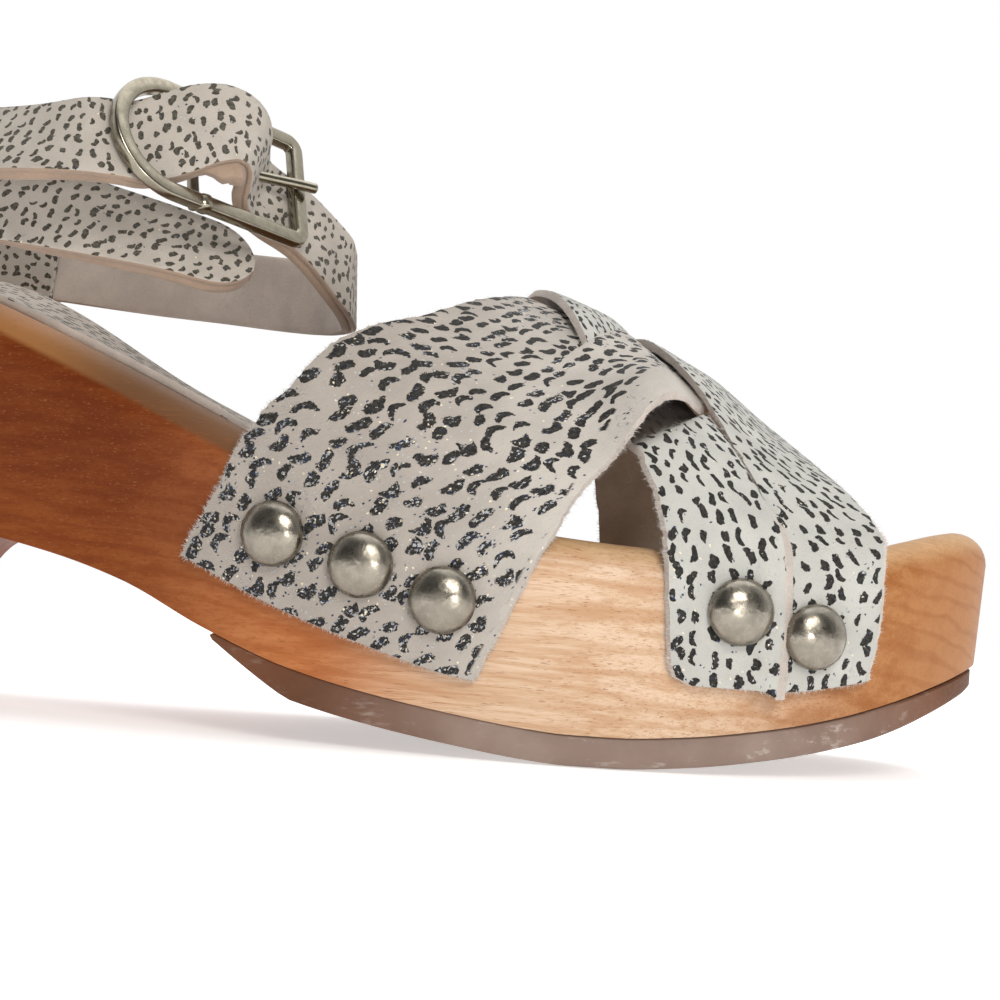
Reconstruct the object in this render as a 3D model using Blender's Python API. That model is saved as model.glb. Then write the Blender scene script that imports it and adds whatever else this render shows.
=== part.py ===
"""Wooden sole shoe for the right foot: a high-heeled clog sandal with crossed straps and an ankle strap.

All shape functions work in millimetres, with "back" counted from the toe tip towards the heel,
y positive towards the inner (medial) side of the foot and z up from the floor.
The built frame is in metres: +X towards the toe, +Y medial, the origin under the middle of the shoe.
"""

import math

import bmesh
import bpy
import numpy as np

MM = 0.001
LENGTH = 257.0
SIDE_SHIFT = 3.98
GAP = 0.3
SQUARE = ((-1, -1), (1, -1), (1, 1), (-1, 1))

# One row per section of the carved sole: distance behind the toe tip, reach of the outline to the
# outer and inner side, height of the outer top edge, height of the wooden underside in front of the
# heel, hollow of the footbed, and height of the last above the footbed edge.
SECTION_COLUMNS = ("back", "lateral", "medial", "edge", "under", "hollow", "crown")
SECTIONS = (
    (0, -8, 8, 47.4, 22, 0, 2),
    (2, 2, 17, 47.4, 21.2, 0.2, 3),
    (6, 9.5, 23.5, 47, 19.5, 0.6, 4),
    (12, 17, 29.5, 45.7, 17.1, 1, 6),
    (20, 24.5, 34.3, 43.3, 14.2, 1.5, 9),
    (30, 30.8, 38.3, 40.3, 11.1, 1.8, 15),
    (42, 36, 41.3, 38.2, 8.4, 2, 23),
    (58, 41, 43.2, 38, 6.1, 2, 32),
    (70, 43.6, 43.6, 38.3, 5.3, 2, 38),
    (78, 44.81, 43.23, 38.73, 5.3, 2, 41.09),
    (84, 45.4, 42.7, 39.2, 5.7, 2, 43),
    (98, 46, 40.4, 40.9, 7.4, 2, 46.3),
    (112, 45.8, 37.5, 44.6, 9.6, 1.8, 49.3),
    (128, 44.4, 34.1, 49.7, 13.1, 1.5, 52.5),
    (144, 41.7, 31.2, 56.4, 18.8, 1.2, 55.5),
    (160, 38.4, 29.4, 63.6, 25.9, 1, 58),
    (176, 35.3, 28.6, 70.3, 30.3, 1.2, 60),
    (192, 32.9, 29, 76.7, 33, 1.6, 61),
    (208, 31.8, 30.1, 82.3, 34, 2.4, 62),
    (224, 31.2, 30.5, 86.5, 34, 3, 62),
    (240, 28.3, 26.9, 89.2, 34, 3, 62),
    (250, 21.5, 20, 90.2, 34, 2, 62),
    (255, 12, 11, 90.5, 34, 0.8, 62),
    (257, 0, 0, 90.5, 34, 0, 62),
)
STATIONS = 51
FOOTBED_COLUMNS = 7
TOP_ROUND = 6.0
TOP_ROUND_STEPS = 3
WALL_DRAFT = 0.05
ARCH_RISE = 5.0
ARCH_RISE_BACK = 202.0
ARCH_RISE_HALF = 44.0
TIP_ROUND = 4.5
TIP_ROUND_DROP = 1.6
CREST_Y = 3.0

HEEL_SEAT_Z = 6.3
BREAST_TOP_BACK = 199.0
BREAST_FOOT_BACK = 213.5
BREAST_STATIONS = 7
BREAST_STEP = 0.6

RUBBER = 5.0
RUBBER_AT_TOE = 3.4
TOE_TAPER_END = 26.0
TREAD_FLAT = (70.0, 78.0)
RUBBER_INSET = 1.9
RUBBER_STATIONS = 30
SKIVE_BACK = 127.0
SKIVE_END_BACK = 142.0
SKIVE_END = 0.7
HEEL_LIFT_INSET = 4.6
HEEL_LIFT_FRONT_GAP = 0.6
HEEL_LIFT_STATIONS = 14

SOCK_FRONT_BACK = 145.0
SOCK = 1.2
SOCK_GAP = 0.6
SOCK_INSET = 8.0
SOCK_STATIONS = 20
SOCK_COLUMNS = 8

STRAP = 2.0
STRAP_GAP = 0.5
WALL_UNIT = 30.0
MOST_MITRE = 1.8
WEAVE_LIFT = 1.1

# A strap is laid on the last: "around" is 0 at the outer footbed edge and 1 at the inner one, and one
# unit below 0 or above 1 is WALL_UNIT down the side of the sole. One row per fold of the strap.
STRAP_COLUMNS = ("around_rear", "back_rear", "around_front", "back_front")
STRAP_FROM_OUTER_REAR = (
    (-0.90, 148.0, -0.90, 94.5),
    (-0.50, 143.0, -0.50, 89.4),
    (0.00, 136.5, 0.00, 82.3),
    (0.065, 130.1, 0.06, 78.6),
    (0.13, 124.1, 0.11, 73.9),
    (0.18, 117.1, 0.16, 69.1),
    (0.23, 109.0, 0.23, 62.4),
    (0.31, 101.3, 0.30, 58.0),
    (0.39, 95.5, 0.40, 55.5),
    (0.54, 90.0, 0.54, 53.0),
    (0.70, 84.0, 0.70, 50.0),
    (0.86, 79.0, 0.88, 45.5),
    (1.00, 76.0, 1.00, 43.0),
    (1.45, 71.5, 1.45, 38.5),
    (1.78, 68.5, 1.78, 35.0),
)
STRAP_FROM_OUTER_FRONT = (
    (-0.76, 61.0, -0.78, 26.6),
    (-0.40, 61.9, -0.40, 24.9),
    (0.00, 63.2, -0.02, 24.9),
    (0.07, 65.0, 0.09, 26.8),
    (0.14, 69.0, 0.205, 31.0),
    (0.22, 74.5, 0.275, 35.2),
    (0.31, 81.0, 0.337, 39.5),
    (0.42, 87.0, 0.42, 46.0),
    (0.50, 92.0, 0.50, 54.0),
    (0.59, 98.0, 0.60, 61.0),
    (0.70, 107.0, 0.74, 69.5),
    (0.83, 120.0, 0.84, 78.0),
    (0.94, 135.0, 0.93, 86.0),
    (1.00, 143.0, 1.05, 92.5),
    (1.45, 151.0, 1.50, 98.5),
    (1.88, 156.0, 1.88, 103.0),
)
STRAP_LENGTH_STEPS = 40
STRAP_WIDTH_STEPS = 8
# The strap that lies on top at the crossing rises between these two values of "around" on either side.
WEAVE_RISE_FROM = 0.04
WEAVE_RISE_TO = 0.15

STUD_RADIUS = 5.6
STUD_RIM = 0.5
STUD_DOME = 3.3
STUD_SIDES = 14
STUD_RINGS = 4
# Nail heads on the sides of the sole: name, side (-1 outer, +1 inner), back, depth below the edge.
STUDS = (
    ("stud_lateral_rear_1", -1, 131.0, 15.0),
    ("stud_lateral_rear_2", -1, 114.8, 13.7),
    ("stud_lateral_rear_3", -1, 100.5, 15.0),
    ("stud_lateral_front_1", -1, 50.2, 9.7),
    ("stud_lateral_front_2", -1, 36.6, 13.9),
    ("stud_medial_rear_1", 1, 139.5, 15.0),
    ("stud_medial_rear_2", 1, 123.5, 13.7),
    ("stud_medial_rear_3", 1, 109.0, 15.0),
    ("stud_medial_front_1", 1, 62.0, 10.0),
    ("stud_medial_front_2", 1, 44.0, 13.5),
)

ANKLE_WIDTH = 16.0
ANKLE = 2.4
ANKLE_TIP = 9.0
ANKLE_TIP_LEAST = 0.22
ANKLE_STEP = 6.0
ANKLE_TIP_STEPS = 5
ANKLE_TIP_CROWDING = 1.5

BUCKLE_BACK = 153.6
BUCKLE_Y = -36.7
BUCKLE_Z = 102.6
BUCKLE_TOEWARD = (0.659, 0.744, -0.111)
BUCKLE_LEAN = 21.4
BAR = 1.3
BAR_SIDES = 8
FRAME_NOSE = 21.8
FRAME_HALF = 10.9
FRAME_BEND_CENTRE = -6.2
FRAME_BEND_STEPS = 12
FRAME_CORNER = 2.0
FRAME_CLEARANCE = 0.6
FRAME_OUT = ANKLE / 2 + FRAME_CLEARANCE + BAR
PIVOT_OUT = 0.2
# The strap's way through the buckle: along the frame, across it, and how far it stands out.
OVERLAP_COLUMNS = ("run", "across", "rise")
OVERLAP_RUN = (
    (25.0, -4.0, -0.2),
    (21.5, -2.9, -0.1),
    (17.0, -1.9, 0.1),
    (13.6, -0.9, 0.9),
    (11.4, 0.0, 3.4),
    (10.0, 0.8, 6.2),
    (8.0, 1.7, 8.8),
    (5.2, 2.5, 10.2),
    (1.8, 2.7, 10.1),
    (-2.0, 2.0, 8.3),
    (-5.5, 0.8, 5.0),
    (-9.0, -0.5, 1.8),
    (-12.2, -1.4, 0.0),
    (-15.0, -2.0, -0.2),
    (-18.5, -2.7, -0.2),
    (-21.5, -3.3, -0.3),
)

PRONG = 1.0
PRONG_SIDES = 8
# Path of the prong from the pivot bar over the nose bar: run along the strap, height outward.
PRONG_PATH = ((1.9, 0.6), (8.0, 2.2), (15.0, 4.0), (21.8, 5.8), (24.2, 6.3))
PRONG_HOLE_ENDS = ((6.0, 1.65), (17.0, 4.5))
PRONG_HOLE_WIDTH = 2.9
PRONG_HOLE_HEIGHT = 3.0

LOOP_BACK = 212.0
LOOP_HALF = 10.0
LOOP_Z = 96.2
LOOP_RISE = 1.0 / 12.0
LOOP_OUT = 3.1
LOOP_SLOT_HALF = 1.65
LOOP_SLOT_HEIGHT = 8.6
LOOP_LEATHER = 1.4
LOOP_LEG = 2.8
LOOP_LEG_GAP = 0.8
LOOP_FOOT = -30.0
LOOP_STUD = -22.5
LOOP_STRAP_ROWS = (200.0, 206.0, 212.0, 218.0, 224.0)

# The ankle strap round the back of the heel: back, y, z of its middle line, lean inwards in degrees.
HEEL_RUN = (
    (240.0, -25.5, 100.0, 0.0),
    (249.5, -11.0, 102.0, 0.0),
    (249.5, 11.0, 102.0, 0.0),
    (240.0, 25.0, 100.0, 0.0),
)
# And from the inner side forward round the front of the ankle to the buckle.
FRONT_RUN = (
    (182.0, 34.0, 93.8, 8.0),
    (160.0, 31.0, 92.0, 9.0),
    (146.0, 25.0, 90.2, 8.0),
    (135.6, 15.0, 88.6, 6.0),
    (130.0, 3.5, 88.0, 4.0),
    (129.4, -5.5, 88.8, 5.0),
    (131.8, -12.8, 91.8, 11.0),
)
# And the free end behind the buckle's bend.
FREE_RUN = (
    (176.0, -52.2, 101.0, 32.0),
    (187.0, -50.0, 100.6, 32.0),
    (199.0, -46.0, 100.2, 28.0),
)
# And the underlap from its rounded tip back to the outer loop.
UNDERLAP_RUN = (
    (142.8, -28.0, 85.2, 34.0),
    (151.8, -32.0, 87.2, 33.0),
    (158.1, -34.5, 88.4, 31.0),
    (165.6, -36.3, 89.7, 26.0),
    (173.0, -37.5, 91.0, 20.0),
    (185.0, -38.0, 93.0, 10.0),
)


def smooth(xs, ys, x):
    """Monotone cubic through the rows of a table."""
    xs = np.asarray(xs, float)
    ys = np.asarray(ys, float)
    step = np.diff(xs)
    slope = np.diff(ys) / step
    tangent = np.zeros(len(xs))
    for i in range(1, len(xs) - 1):
        if slope[i - 1] * slope[i] > 0:
            near = 2 * step[i] + step[i - 1]
            far = step[i] + 2 * step[i - 1]
            tangent[i] = (near + far) / (near / slope[i - 1] + far / slope[i])
    tangent[0] = slope[0]
    tangent[-1] = slope[-1]
    x = np.clip(np.asarray(x, float), xs[0], xs[-1])
    i = np.clip(np.searchsorted(xs, x) - 1, 0, len(step) - 1)
    t = (x - xs[i]) / step[i]
    a = ys[i] * (1 + 2 * t) * (1 - t) ** 2 + ys[i + 1] * t * t * (3 - 2 * t)
    b = tangent[i] * t * (1 - t) ** 2 - tangent[i + 1] * t * t * (1 - t)
    return a + step[i] * b


def column(name):
    return [row[SECTION_COLUMNS.index(name)] for row in SECTIONS]


def turn(back):
    """Angle that runs evenly round the outline, so that both tips come out round."""
    return np.arccos(np.clip(1 - 2 * np.asarray(back, float) / LENGTH, -1, 1))


def section(name, back):
    return smooth(column("back"), column(name), back)


def outline(name, back):
    return smooth(turn(column("back")), column(name), turn(back))


def outline_slope(name, back):
    return outline(name, back + 0.5) - outline(name, back - 0.5)


def fade(low, high, x):
    t = np.clip((np.asarray(x, float) - low) / (high - low), 0, 1)
    return t * t * (3 - 2 * t)


def tip_drop(back):
    """Fall of the top edge where it rounds over the toe tip and the back of the heel."""
    end = np.clip(np.minimum(back, LENGTH - np.asarray(back, float)) / TIP_ROUND, 0, 1)
    return TIP_ROUND_DROP * (1 - np.sqrt(1 - (1 - end) ** 2))


def arch_rise(back):
    reach = np.clip((np.asarray(back, float) - ARCH_RISE_BACK) / ARCH_RISE_HALF, -1, 1)
    return ARCH_RISE * np.cos(reach * math.pi / 2) ** 2


def edge_height(back, side):
    """Height of the footbed's edge: side 0 is the outer edge and 1 the inner one."""
    return section("edge", back) - tip_drop(back) + arch_rise(back) * side


def under_height(back):
    """Underside of the wood: forefoot, arch, curved breast and heel seat."""
    back = np.asarray(back, float)
    reach = np.clip((back - BREAST_TOP_BACK) / (BREAST_FOOT_BACK - BREAST_TOP_BACK), 0, 1)
    breast = HEEL_SEAT_Z + (section("under", back) - HEEL_SEAT_Z) * np.sqrt(1 - reach**2)
    return np.where(back < BREAST_FOOT_BACK, breast, HEEL_SEAT_Z)


def rubber_top(back, y):
    return under_height(back) - GAP


def rubber_tread(back, y):
    share = np.clip((np.asarray(back, float) - SKIVE_BACK) / (SKIVE_END_BACK - SKIVE_BACK), 0, 1)
    thick = RUBBER_AT_TOE + (RUBBER - RUBBER_AT_TOE) * fade(0.0, TOE_TAPER_END, back)
    return rubber_top(back, y) - thick + (thick - SKIVE_END) * share


def lift_top(back, y):
    return np.full(len(back), HEEL_SEAT_Z - GAP)


def floor_height(back, y):
    return np.zeros(len(back))


def foot_height(back, y):
    """Footbed surface at a place inside the rounded edge."""
    outer = outline("lateral", back) - TOP_ROUND
    inner = outline("medial", back) - TOP_ROUND
    across = np.clip((y + outer) / np.maximum(outer + inner, 1.0), 0, 1)
    hollow = section("hollow", back) * np.sin(math.pi * across)
    return edge_height(back, fade(0, 1, across)) - hollow


def sock_underside(back, y):
    return foot_height(back, y) + SOCK_GAP


def sock_top(back, y):
    return sock_underside(back, y) + SOCK


def to_frame(point):
    back, y, z = point
    return ((LENGTH / 2 - back) * MM, (y + SIDE_SHIFT) * MM, z * MM)


def material(name, colour, metallic, roughness):
    made = bpy.data.materials.new(name)
    made.use_nodes = True
    shader = made.node_tree.nodes["Principled BSDF"]
    shader.inputs["Base Color"].default_value = (*colour, 1)
    shader.inputs["Metallic"].default_value = metallic
    shader.inputs["Roughness"].default_value = roughness
    return made


def solid(name, points, faces, look):
    mesh = bpy.data.meshes.new(name)
    shape = bmesh.new()
    corners = [shape.verts.new(to_frame(p)) for p in points]
    for face in faces:
        ids = [i for n, i in enumerate(face) if i != face[n - 1]]
        if len(ids) > 2:
            shape.faces.new([corners[i] for i in ids])
    bmesh.ops.remove_doubles(shape, verts=shape.verts, dist=1e-6)
    bmesh.ops.dissolve_degenerate(shape, edges=shape.edges, dist=1e-7)
    bmesh.ops.triangulate(shape, faces=shape.faces)
    bmesh.ops.recalc_face_normals(shape, faces=shape.faces)
    shape.to_mesh(mesh)
    shape.free()
    made = bpy.data.objects.new(name, mesh)
    bpy.context.scene.collection.objects.link(made)
    mesh.materials.append(look)
    return made


def as_helper(obj):
    obj.hide_render = True
    obj.display_type = "WIRE"


def combine(obj, other, operation):
    as_helper(other)
    boolean = obj.modifiers.new(operation.lower(), "BOOLEAN")
    boolean.operation = operation
    boolean.solver = "EXACT"
    boolean.object = other


def stations(first, last, count):
    """Section places between two ends, closer together at the round tips."""
    return LENGTH / 2 * (1 - np.cos(np.linspace(turn(first), turn(last), count)))


def ring_of(backs):
    """Closed outline through the sections: places, inward directions and side (0 outer, 1 inner)."""
    outer = np.stack([backs, -outline("lateral", backs)], 1)
    inner = np.stack([backs, outline("medial", backs)], 1)[1:-1][::-1]
    places = np.concatenate([outer, inner])
    side = np.concatenate([np.zeros(len(outer)), np.ones(len(inner))])
    along = np.roll(places, -1, 0) - np.roll(places, 1, 0)
    along /= np.linalg.norm(along, axis=1)[:, None]
    inward = np.stack([-along[:, 1], along[:, 0]], 1)
    return places, inward, side


def grid_faces(rows, columns, start=0):
    faces = []
    for i in range(rows - 1):
        for j in range(columns - 1):
            a = start + i * columns + j
            faces.append((a, a + 1, a + columns + 1, a + columns))
    return faces


def wooden_sole(look):
    breast = np.linspace(BREAST_TOP_BACK, BREAST_FOOT_BACK, BREAST_STATIONS + 2)
    backs = np.union1d(stations(0, LENGTH, STATIONS), np.append(breast, BREAST_FOOT_BACK + BREAST_STEP))
    count = len(backs)
    places, inward, side = ring_of(backs)
    size = len(places)
    edge = edge_height(places[:, 0], side)
    under = under_height(places[:, 0])
    heights = [(WALL_DRAFT * (edge - under), under)]
    for angle in np.linspace(0, math.pi / 2, TOP_ROUND_STEPS + 1):
        inset = TOP_ROUND * (1 - math.cos(angle))
        heights.append((inset, edge - TOP_ROUND * (1 - math.sin(angle))))
    points = []
    for inset, height in heights:
        at = places + inward * np.reshape(inset, (-1, 1)) * np.ones((size, 1))
        points += [(b, y, z) for (b, y), z in zip(at, height)]
    faces = []
    for row in range(len(heights) - 1):
        for k in range(size):
            n = (k + 1) % size
            a = row * size
            faces.append((a + k, a + n, a + size + n, a + size + k))
    crest = (len(heights) - 1) * size
    lines = []
    for i in range(count):
        outer = crest + i
        inner = crest + (size - i) % size if i < count - 1 else crest + i
        line = [outer]
        for j in range(1, FOOTBED_COLUMNS):
            share = j / FOOTBED_COLUMNS
            b = points[outer][0] * (1 - share) + points[inner][0] * share
            y = points[outer][1] * (1 - share) + points[inner][1] * share
            if outer == inner:
                line.append(outer)
                continue
            line.append(len(points))
            points.append((b, y, float(foot_height(b, y))))
        lines.append(line + [inner])
    for here, there in zip(lines, lines[1:]):
        for j in range(FOOTBED_COLUMNS):
            faces.append((here[j], here[j + 1], there[j + 1], there[j]))
    for i in range(count - 1):
        after = (size - i - 1) % size if i + 1 < count - 1 else i + 1
        faces.append((i, i + 1, after, (size - i) % size))
    return solid("sole_wood", points, faces, look)


def inset_sides(inset):
    """The outline moved inwards: rows of back and y for the outer and the inner side."""
    backs = stations(0, LENGTH, 8 * STATIONS)
    places, inward, _ = ring_of(backs)
    moved = places + inward * inset
    outer = moved[: len(backs)]
    inner = np.concatenate([moved[len(backs) - 1 :], moved[:1]])[::-1]
    return outer, inner


def plate(name, backs, inset, top, bottom, columns, look):
    """A layer between two surfaces, with the sole's outline moved inwards."""
    outer, inner = inset_sides(inset)
    low = np.interp(backs, outer[:, 0], outer[:, 1])
    high = np.interp(backs, inner[:, 0], inner[:, 1])
    share = np.linspace(0, 1, columns)
    b = np.repeat(backs, columns)
    y = (low[:, None] * (1 - share) + high[:, None] * share).ravel()
    points = list(zip(b, y, top(b, y))) + list(zip(b, y, bottom(b, y)))
    rows = len(backs)
    lower = rows * columns
    faces = grid_faces(rows, columns) + grid_faces(rows, columns, lower)
    rim = [i * columns for i in range(rows)]
    rim += [(rows - 1) * columns + j for j in range(1, columns)]
    rim += [i * columns + columns - 1 for i in range(rows - 2, -1, -1)]
    rim += list(range(columns - 2, 0, -1))
    for a, c in zip(rim, rim[1:] + rim[:1]):
        faces.append((a, c, lower + c, lower + a))
    return solid(name, points, faces, look)


def tip_range(inset):
    outer, _ = inset_sides(inset)
    return outer[0, 0], outer[-1, 0]


def last_point(back, around, out):
    """A place on the last, moved outwards: the sole's sides below, a rounded crown above."""
    reach = {}
    for name in ("lateral", "medial"):
        mitre = math.sqrt(1 + outline_slope(name, back) ** 2)
        reach[name] = outline(name, back) + out * min(mitre, MOST_MITRE)
    down = WALL_UNIT * (max(-around, 0) + max(around - 1, 0))
    share = min(max(around, 0.0), 1.0)
    angle = math.pi * share
    half = reach["lateral"] + CREST_Y if share < 0.5 else reach["medial"] - CREST_Y
    half -= WALL_DRAFT * down
    y = CREST_Y - half * math.cos(angle)
    base = edge_height(back, fade(0, 1, share))
    z = base + (section("crown", back) + out) * math.sin(angle) - down
    return (float(back), float(y), float(z))


def crossed_strap(name, table, lift, look):
    rows = np.arange(len(table))
    at = np.linspace(0, len(table) - 1, STRAP_LENGTH_STEPS)
    edges = {key: smooth(rows, [r[i] for r in table], at) for i, key in enumerate(STRAP_COLUMNS)}
    columns = STRAP_WIDTH_STEPS + 1
    points = []
    for thick in (STRAP, 0.0):
        for i in range(STRAP_LENGTH_STEPS):
            for share in np.linspace(0, 1, columns):
                back = edges["back_rear"][i] * (1 - share) + edges["back_front"][i] * share
                around = edges["around_rear"][i] * (1 - share) + edges["around_front"][i] * share
                inboard = min(around, 1 - around)
                raised = lift * fade(WEAVE_RISE_FROM, WEAVE_RISE_TO, inboard)
                points.append(last_point(back, around, STRAP_GAP + raised + thick))
    lower = STRAP_LENGTH_STEPS * columns
    faces = grid_faces(STRAP_LENGTH_STEPS, columns) + grid_faces(STRAP_LENGTH_STEPS, columns, lower)
    rim = [i * columns for i in range(STRAP_LENGTH_STEPS)]
    rim += [(STRAP_LENGTH_STEPS - 1) * columns + j for j in range(1, columns)]
    rim += [i * columns + columns - 1 for i in range(STRAP_LENGTH_STEPS - 2, -1, -1)]
    rim += list(range(columns - 2, 0, -1))
    for a, c in zip(rim, rim[1:] + rim[:1]):
        faces.append((a, c, lower + c, lower + a))
    return solid(name, points, faces, look)


def unit(v):
    return np.asarray(v, float) / np.linalg.norm(v)


def stud(name, seat, out, look):
    """A domed nail head standing on a seat point."""
    side = unit(np.cross(out, (0, 0, 1)))
    up = np.cross(side, out)
    sphere = (STUD_RADIUS**2 + STUD_DOME**2) / (2 * STUD_DOME)
    widest = math.asin(STUD_RADIUS / sphere)
    levels = [(STUD_RADIUS, 0.0)]
    for angle in np.linspace(widest, 0, STUD_RINGS + 1)[:-1]:
        rise = STUD_RIM + STUD_DOME - sphere * (1 - math.cos(angle))
        levels.append((sphere * math.sin(angle), rise))
    points = []
    for radius, rise in levels:
        for k in range(STUD_SIDES):
            turned = 2 * math.pi * k / STUD_SIDES
            offset = side * math.cos(turned) * radius + up * math.sin(turned) * radius
            points.append(tuple(seat + offset + out * rise))
    points.append(tuple(seat + out * (STUD_RIM + STUD_DOME)))
    faces = [tuple(range(STUD_SIDES))]
    for ring in range(len(levels) - 1):
        for k in range(STUD_SIDES):
            a = ring * STUD_SIDES
            n = (k + 1) % STUD_SIDES
            faces.append((a + k, a + n, a + STUD_SIDES + n, a + STUD_SIDES + k))
    a = (len(levels) - 1) * STUD_SIDES
    for k in range(STUD_SIDES):
        faces.append((a + k, a + (k + 1) % STUD_SIDES, len(points) - 1))
    return solid(name, points, faces, look)


def side_stud(name, side, back, depth, look):
    around = -depth / WALL_UNIT if side < 0 else 1 + depth / WALL_UNIT
    out = STRAP_GAP + STRAP + GAP
    here = np.array(last_point(back, around, out))
    along = np.array(last_point(back + 1, around, out)) - np.array(last_point(back - 1, around, out))
    above = np.array(last_point(back, around - side / WALL_UNIT, out)) - here
    facing = unit(np.cross(along, above))
    if facing[1] * side < 0:
        facing = -facing
    return stud(name, here, facing, look)


def strap_frame(heading, lean):
    """Width direction and outward direction of a strap that runs one way and leans inwards."""
    heading = unit(heading)
    inward = unit((-heading[1], heading[0], 0))
    width = math.cos(lean) * np.array((0, 0, 1.0)) + math.sin(lean) * inward
    width = unit(width - heading * (width @ heading))
    return width, unit(inward - heading * (inward @ heading) - width * (inward @ width)) * -1


def buckle_frame_axes():
    """Origin, direction to the nose bar, strap width direction and outward direction."""
    forward, y, z = BUCKLE_TOEWARD
    toeward = unit((-forward, y, z))
    width, out = strap_frame(-toeward, math.radians(BUCKLE_LEAN))
    return np.array((BUCKLE_BACK, BUCKLE_Y, BUCKLE_Z)), toeward, width, out


def in_buckle(run, across, outward):
    origin, toeward, width, out = buckle_frame_axes()
    return origin + toeward * run + width * across + out * outward


def loop_place(side, back):
    """Middle line of the ankle strap where it passes a loop on the sole's side."""
    name = "lateral" if side < 0 else "medial"
    reach = outline(name, LOOP_BACK) + LOOP_OUT + outline_slope(name, LOOP_BACK) * (back - LOOP_BACK)
    return np.array((back, side * float(reach), LOOP_Z + (back - LOOP_BACK) * LOOP_RISE))


def ankle_rows():
    """Middle line and lean of the ankle strap from its underlap tip round the heel to its free end.

    The last three values of a row are the same place without the hump over the buckle's pivot bar.
    """
    rows = list(UNDERLAP_RUN)
    for back in LOOP_STRAP_ROWS:
        rows.append((*loop_place(-1, back), 0.0))
    rows += HEEL_RUN
    for back in LOOP_STRAP_ROWS[::-1]:
        rows.append((*loop_place(1, back), 0.0))
    rows += FRONT_RUN
    flat = [row[:3] for row in rows]
    for run, across, rise in OVERLAP_RUN:
        rows.append((*in_buckle(run, across, rise), BUCKLE_LEAN))
        flat.append(in_buckle(run, across, 0.0))
    rows += FREE_RUN
    flat += [row[:3] for row in FREE_RUN]
    return np.column_stack([np.array(rows), np.array(flat)])


def strap_section(heading, flat_heading, lean):
    """Width direction and outward direction where the strap may stand up from its flat course."""
    heading = unit(heading)
    width, _ = strap_frame(flat_heading, lean)
    width = unit(width - heading * (width @ heading))
    return width, np.cross(heading, width)


def ankle_strap(look):
    rows = ankle_rows()
    length = np.concatenate([[0], np.cumsum(np.linalg.norm(np.diff(rows[:, :3], axis=0), axis=1))])
    total = length[-1]
    ends = ANKLE_TIP * np.linspace(0, 1, ANKLE_TIP_STEPS + 1) ** ANKLE_TIP_CROWDING
    at = [ends, total - ends[::-1]]
    for start, stop in zip(length[1:-2], length[2:-1]):
        at.append(np.linspace(start, stop, max(1, round((stop - start) / ANKLE_STEP)) + 1))
    at = np.unique(np.round(np.concatenate(at), 6))
    line = np.stack([smooth(length, rows[:, i], at) for i in range(7)], 1)
    heading = np.gradient(line[:, :3], at, axis=0)
    flat_heading = np.gradient(line[:, 4:], at, axis=0)
    points = []
    for i, where in enumerate(at):
        end = float(np.clip(min(where, total - where) / ANKLE_TIP, 0, 1))
        half = ANKLE_WIDTH / 2 * max(math.sqrt(1 - (1 - end) ** 2), ANKLE_TIP_LEAST)
        width, out = strap_section(heading[i], flat_heading[i], math.radians(line[i, 3]))
        for a, o in SQUARE:
            points.append(tuple(line[i, :3] + width * half * a + out * ANKLE / 2 * o))
    faces = [(0, 1, 2, 3), tuple(len(points) - 4 + k for k in range(4))]
    for i in range(len(at) - 1):
        for k in range(4):
            a = 4 * i
            faces.append((a + k, a + (k + 1) % 4, a + 4 + (k + 1) % 4, a + 4 + k))
    strap = solid("ankle_strap", points, faces, look)
    hole = []
    for run, rise in PRONG_HOLE_ENDS:
        for a, o in SQUARE:
            height = rise + o * PRONG_HOLE_HEIGHT / 2
            hole.append(tuple(in_buckle(run, a * PRONG_HOLE_WIDTH / 2, height)))
    sides = [(0, 1, 2, 3), (4, 5, 6, 7)]
    sides += [(k, (k + 1) % 4, 4 + (k + 1) % 4, 4 + k) for k in range(4)]
    combine(strap, solid("prong_hole", hole, sides, look), "DIFFERENCE")
    return strap


def tube(name, path, across, radius, sides, closed, look):
    """A round bar along a path. "across" is a direction that the path is never parallel to."""
    path = np.asarray(path, float)
    points = []
    for i in range(len(path)):
        before = path[i - 1] if closed or i else path[0]
        after = path[(i + 1) % len(path)] if closed or i < len(path) - 1 else path[-1]
        first = unit(np.cross(after - before, across))
        second = unit(np.cross(first, after - before))
        for k in range(sides):
            angle = 2 * math.pi * (k + 0.5) / sides
            outward = first * math.cos(angle) + second * math.sin(angle)
            points.append(tuple(path[i] + radius * outward))
    faces = []
    for i in range(len(path) - (0 if closed else 1)):
        here = i * sides
        there = (i + 1) % len(path) * sides
        for k in range(sides):
            n = (k + 1) % sides
            faces.append((here + k, here + n, there + n, there + k))
    if not closed:
        faces.append(tuple(range(sides)))
        faces.append(tuple(len(points) - sides + k for k in range(sides)))
    return solid(name, points, faces, look)


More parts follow.
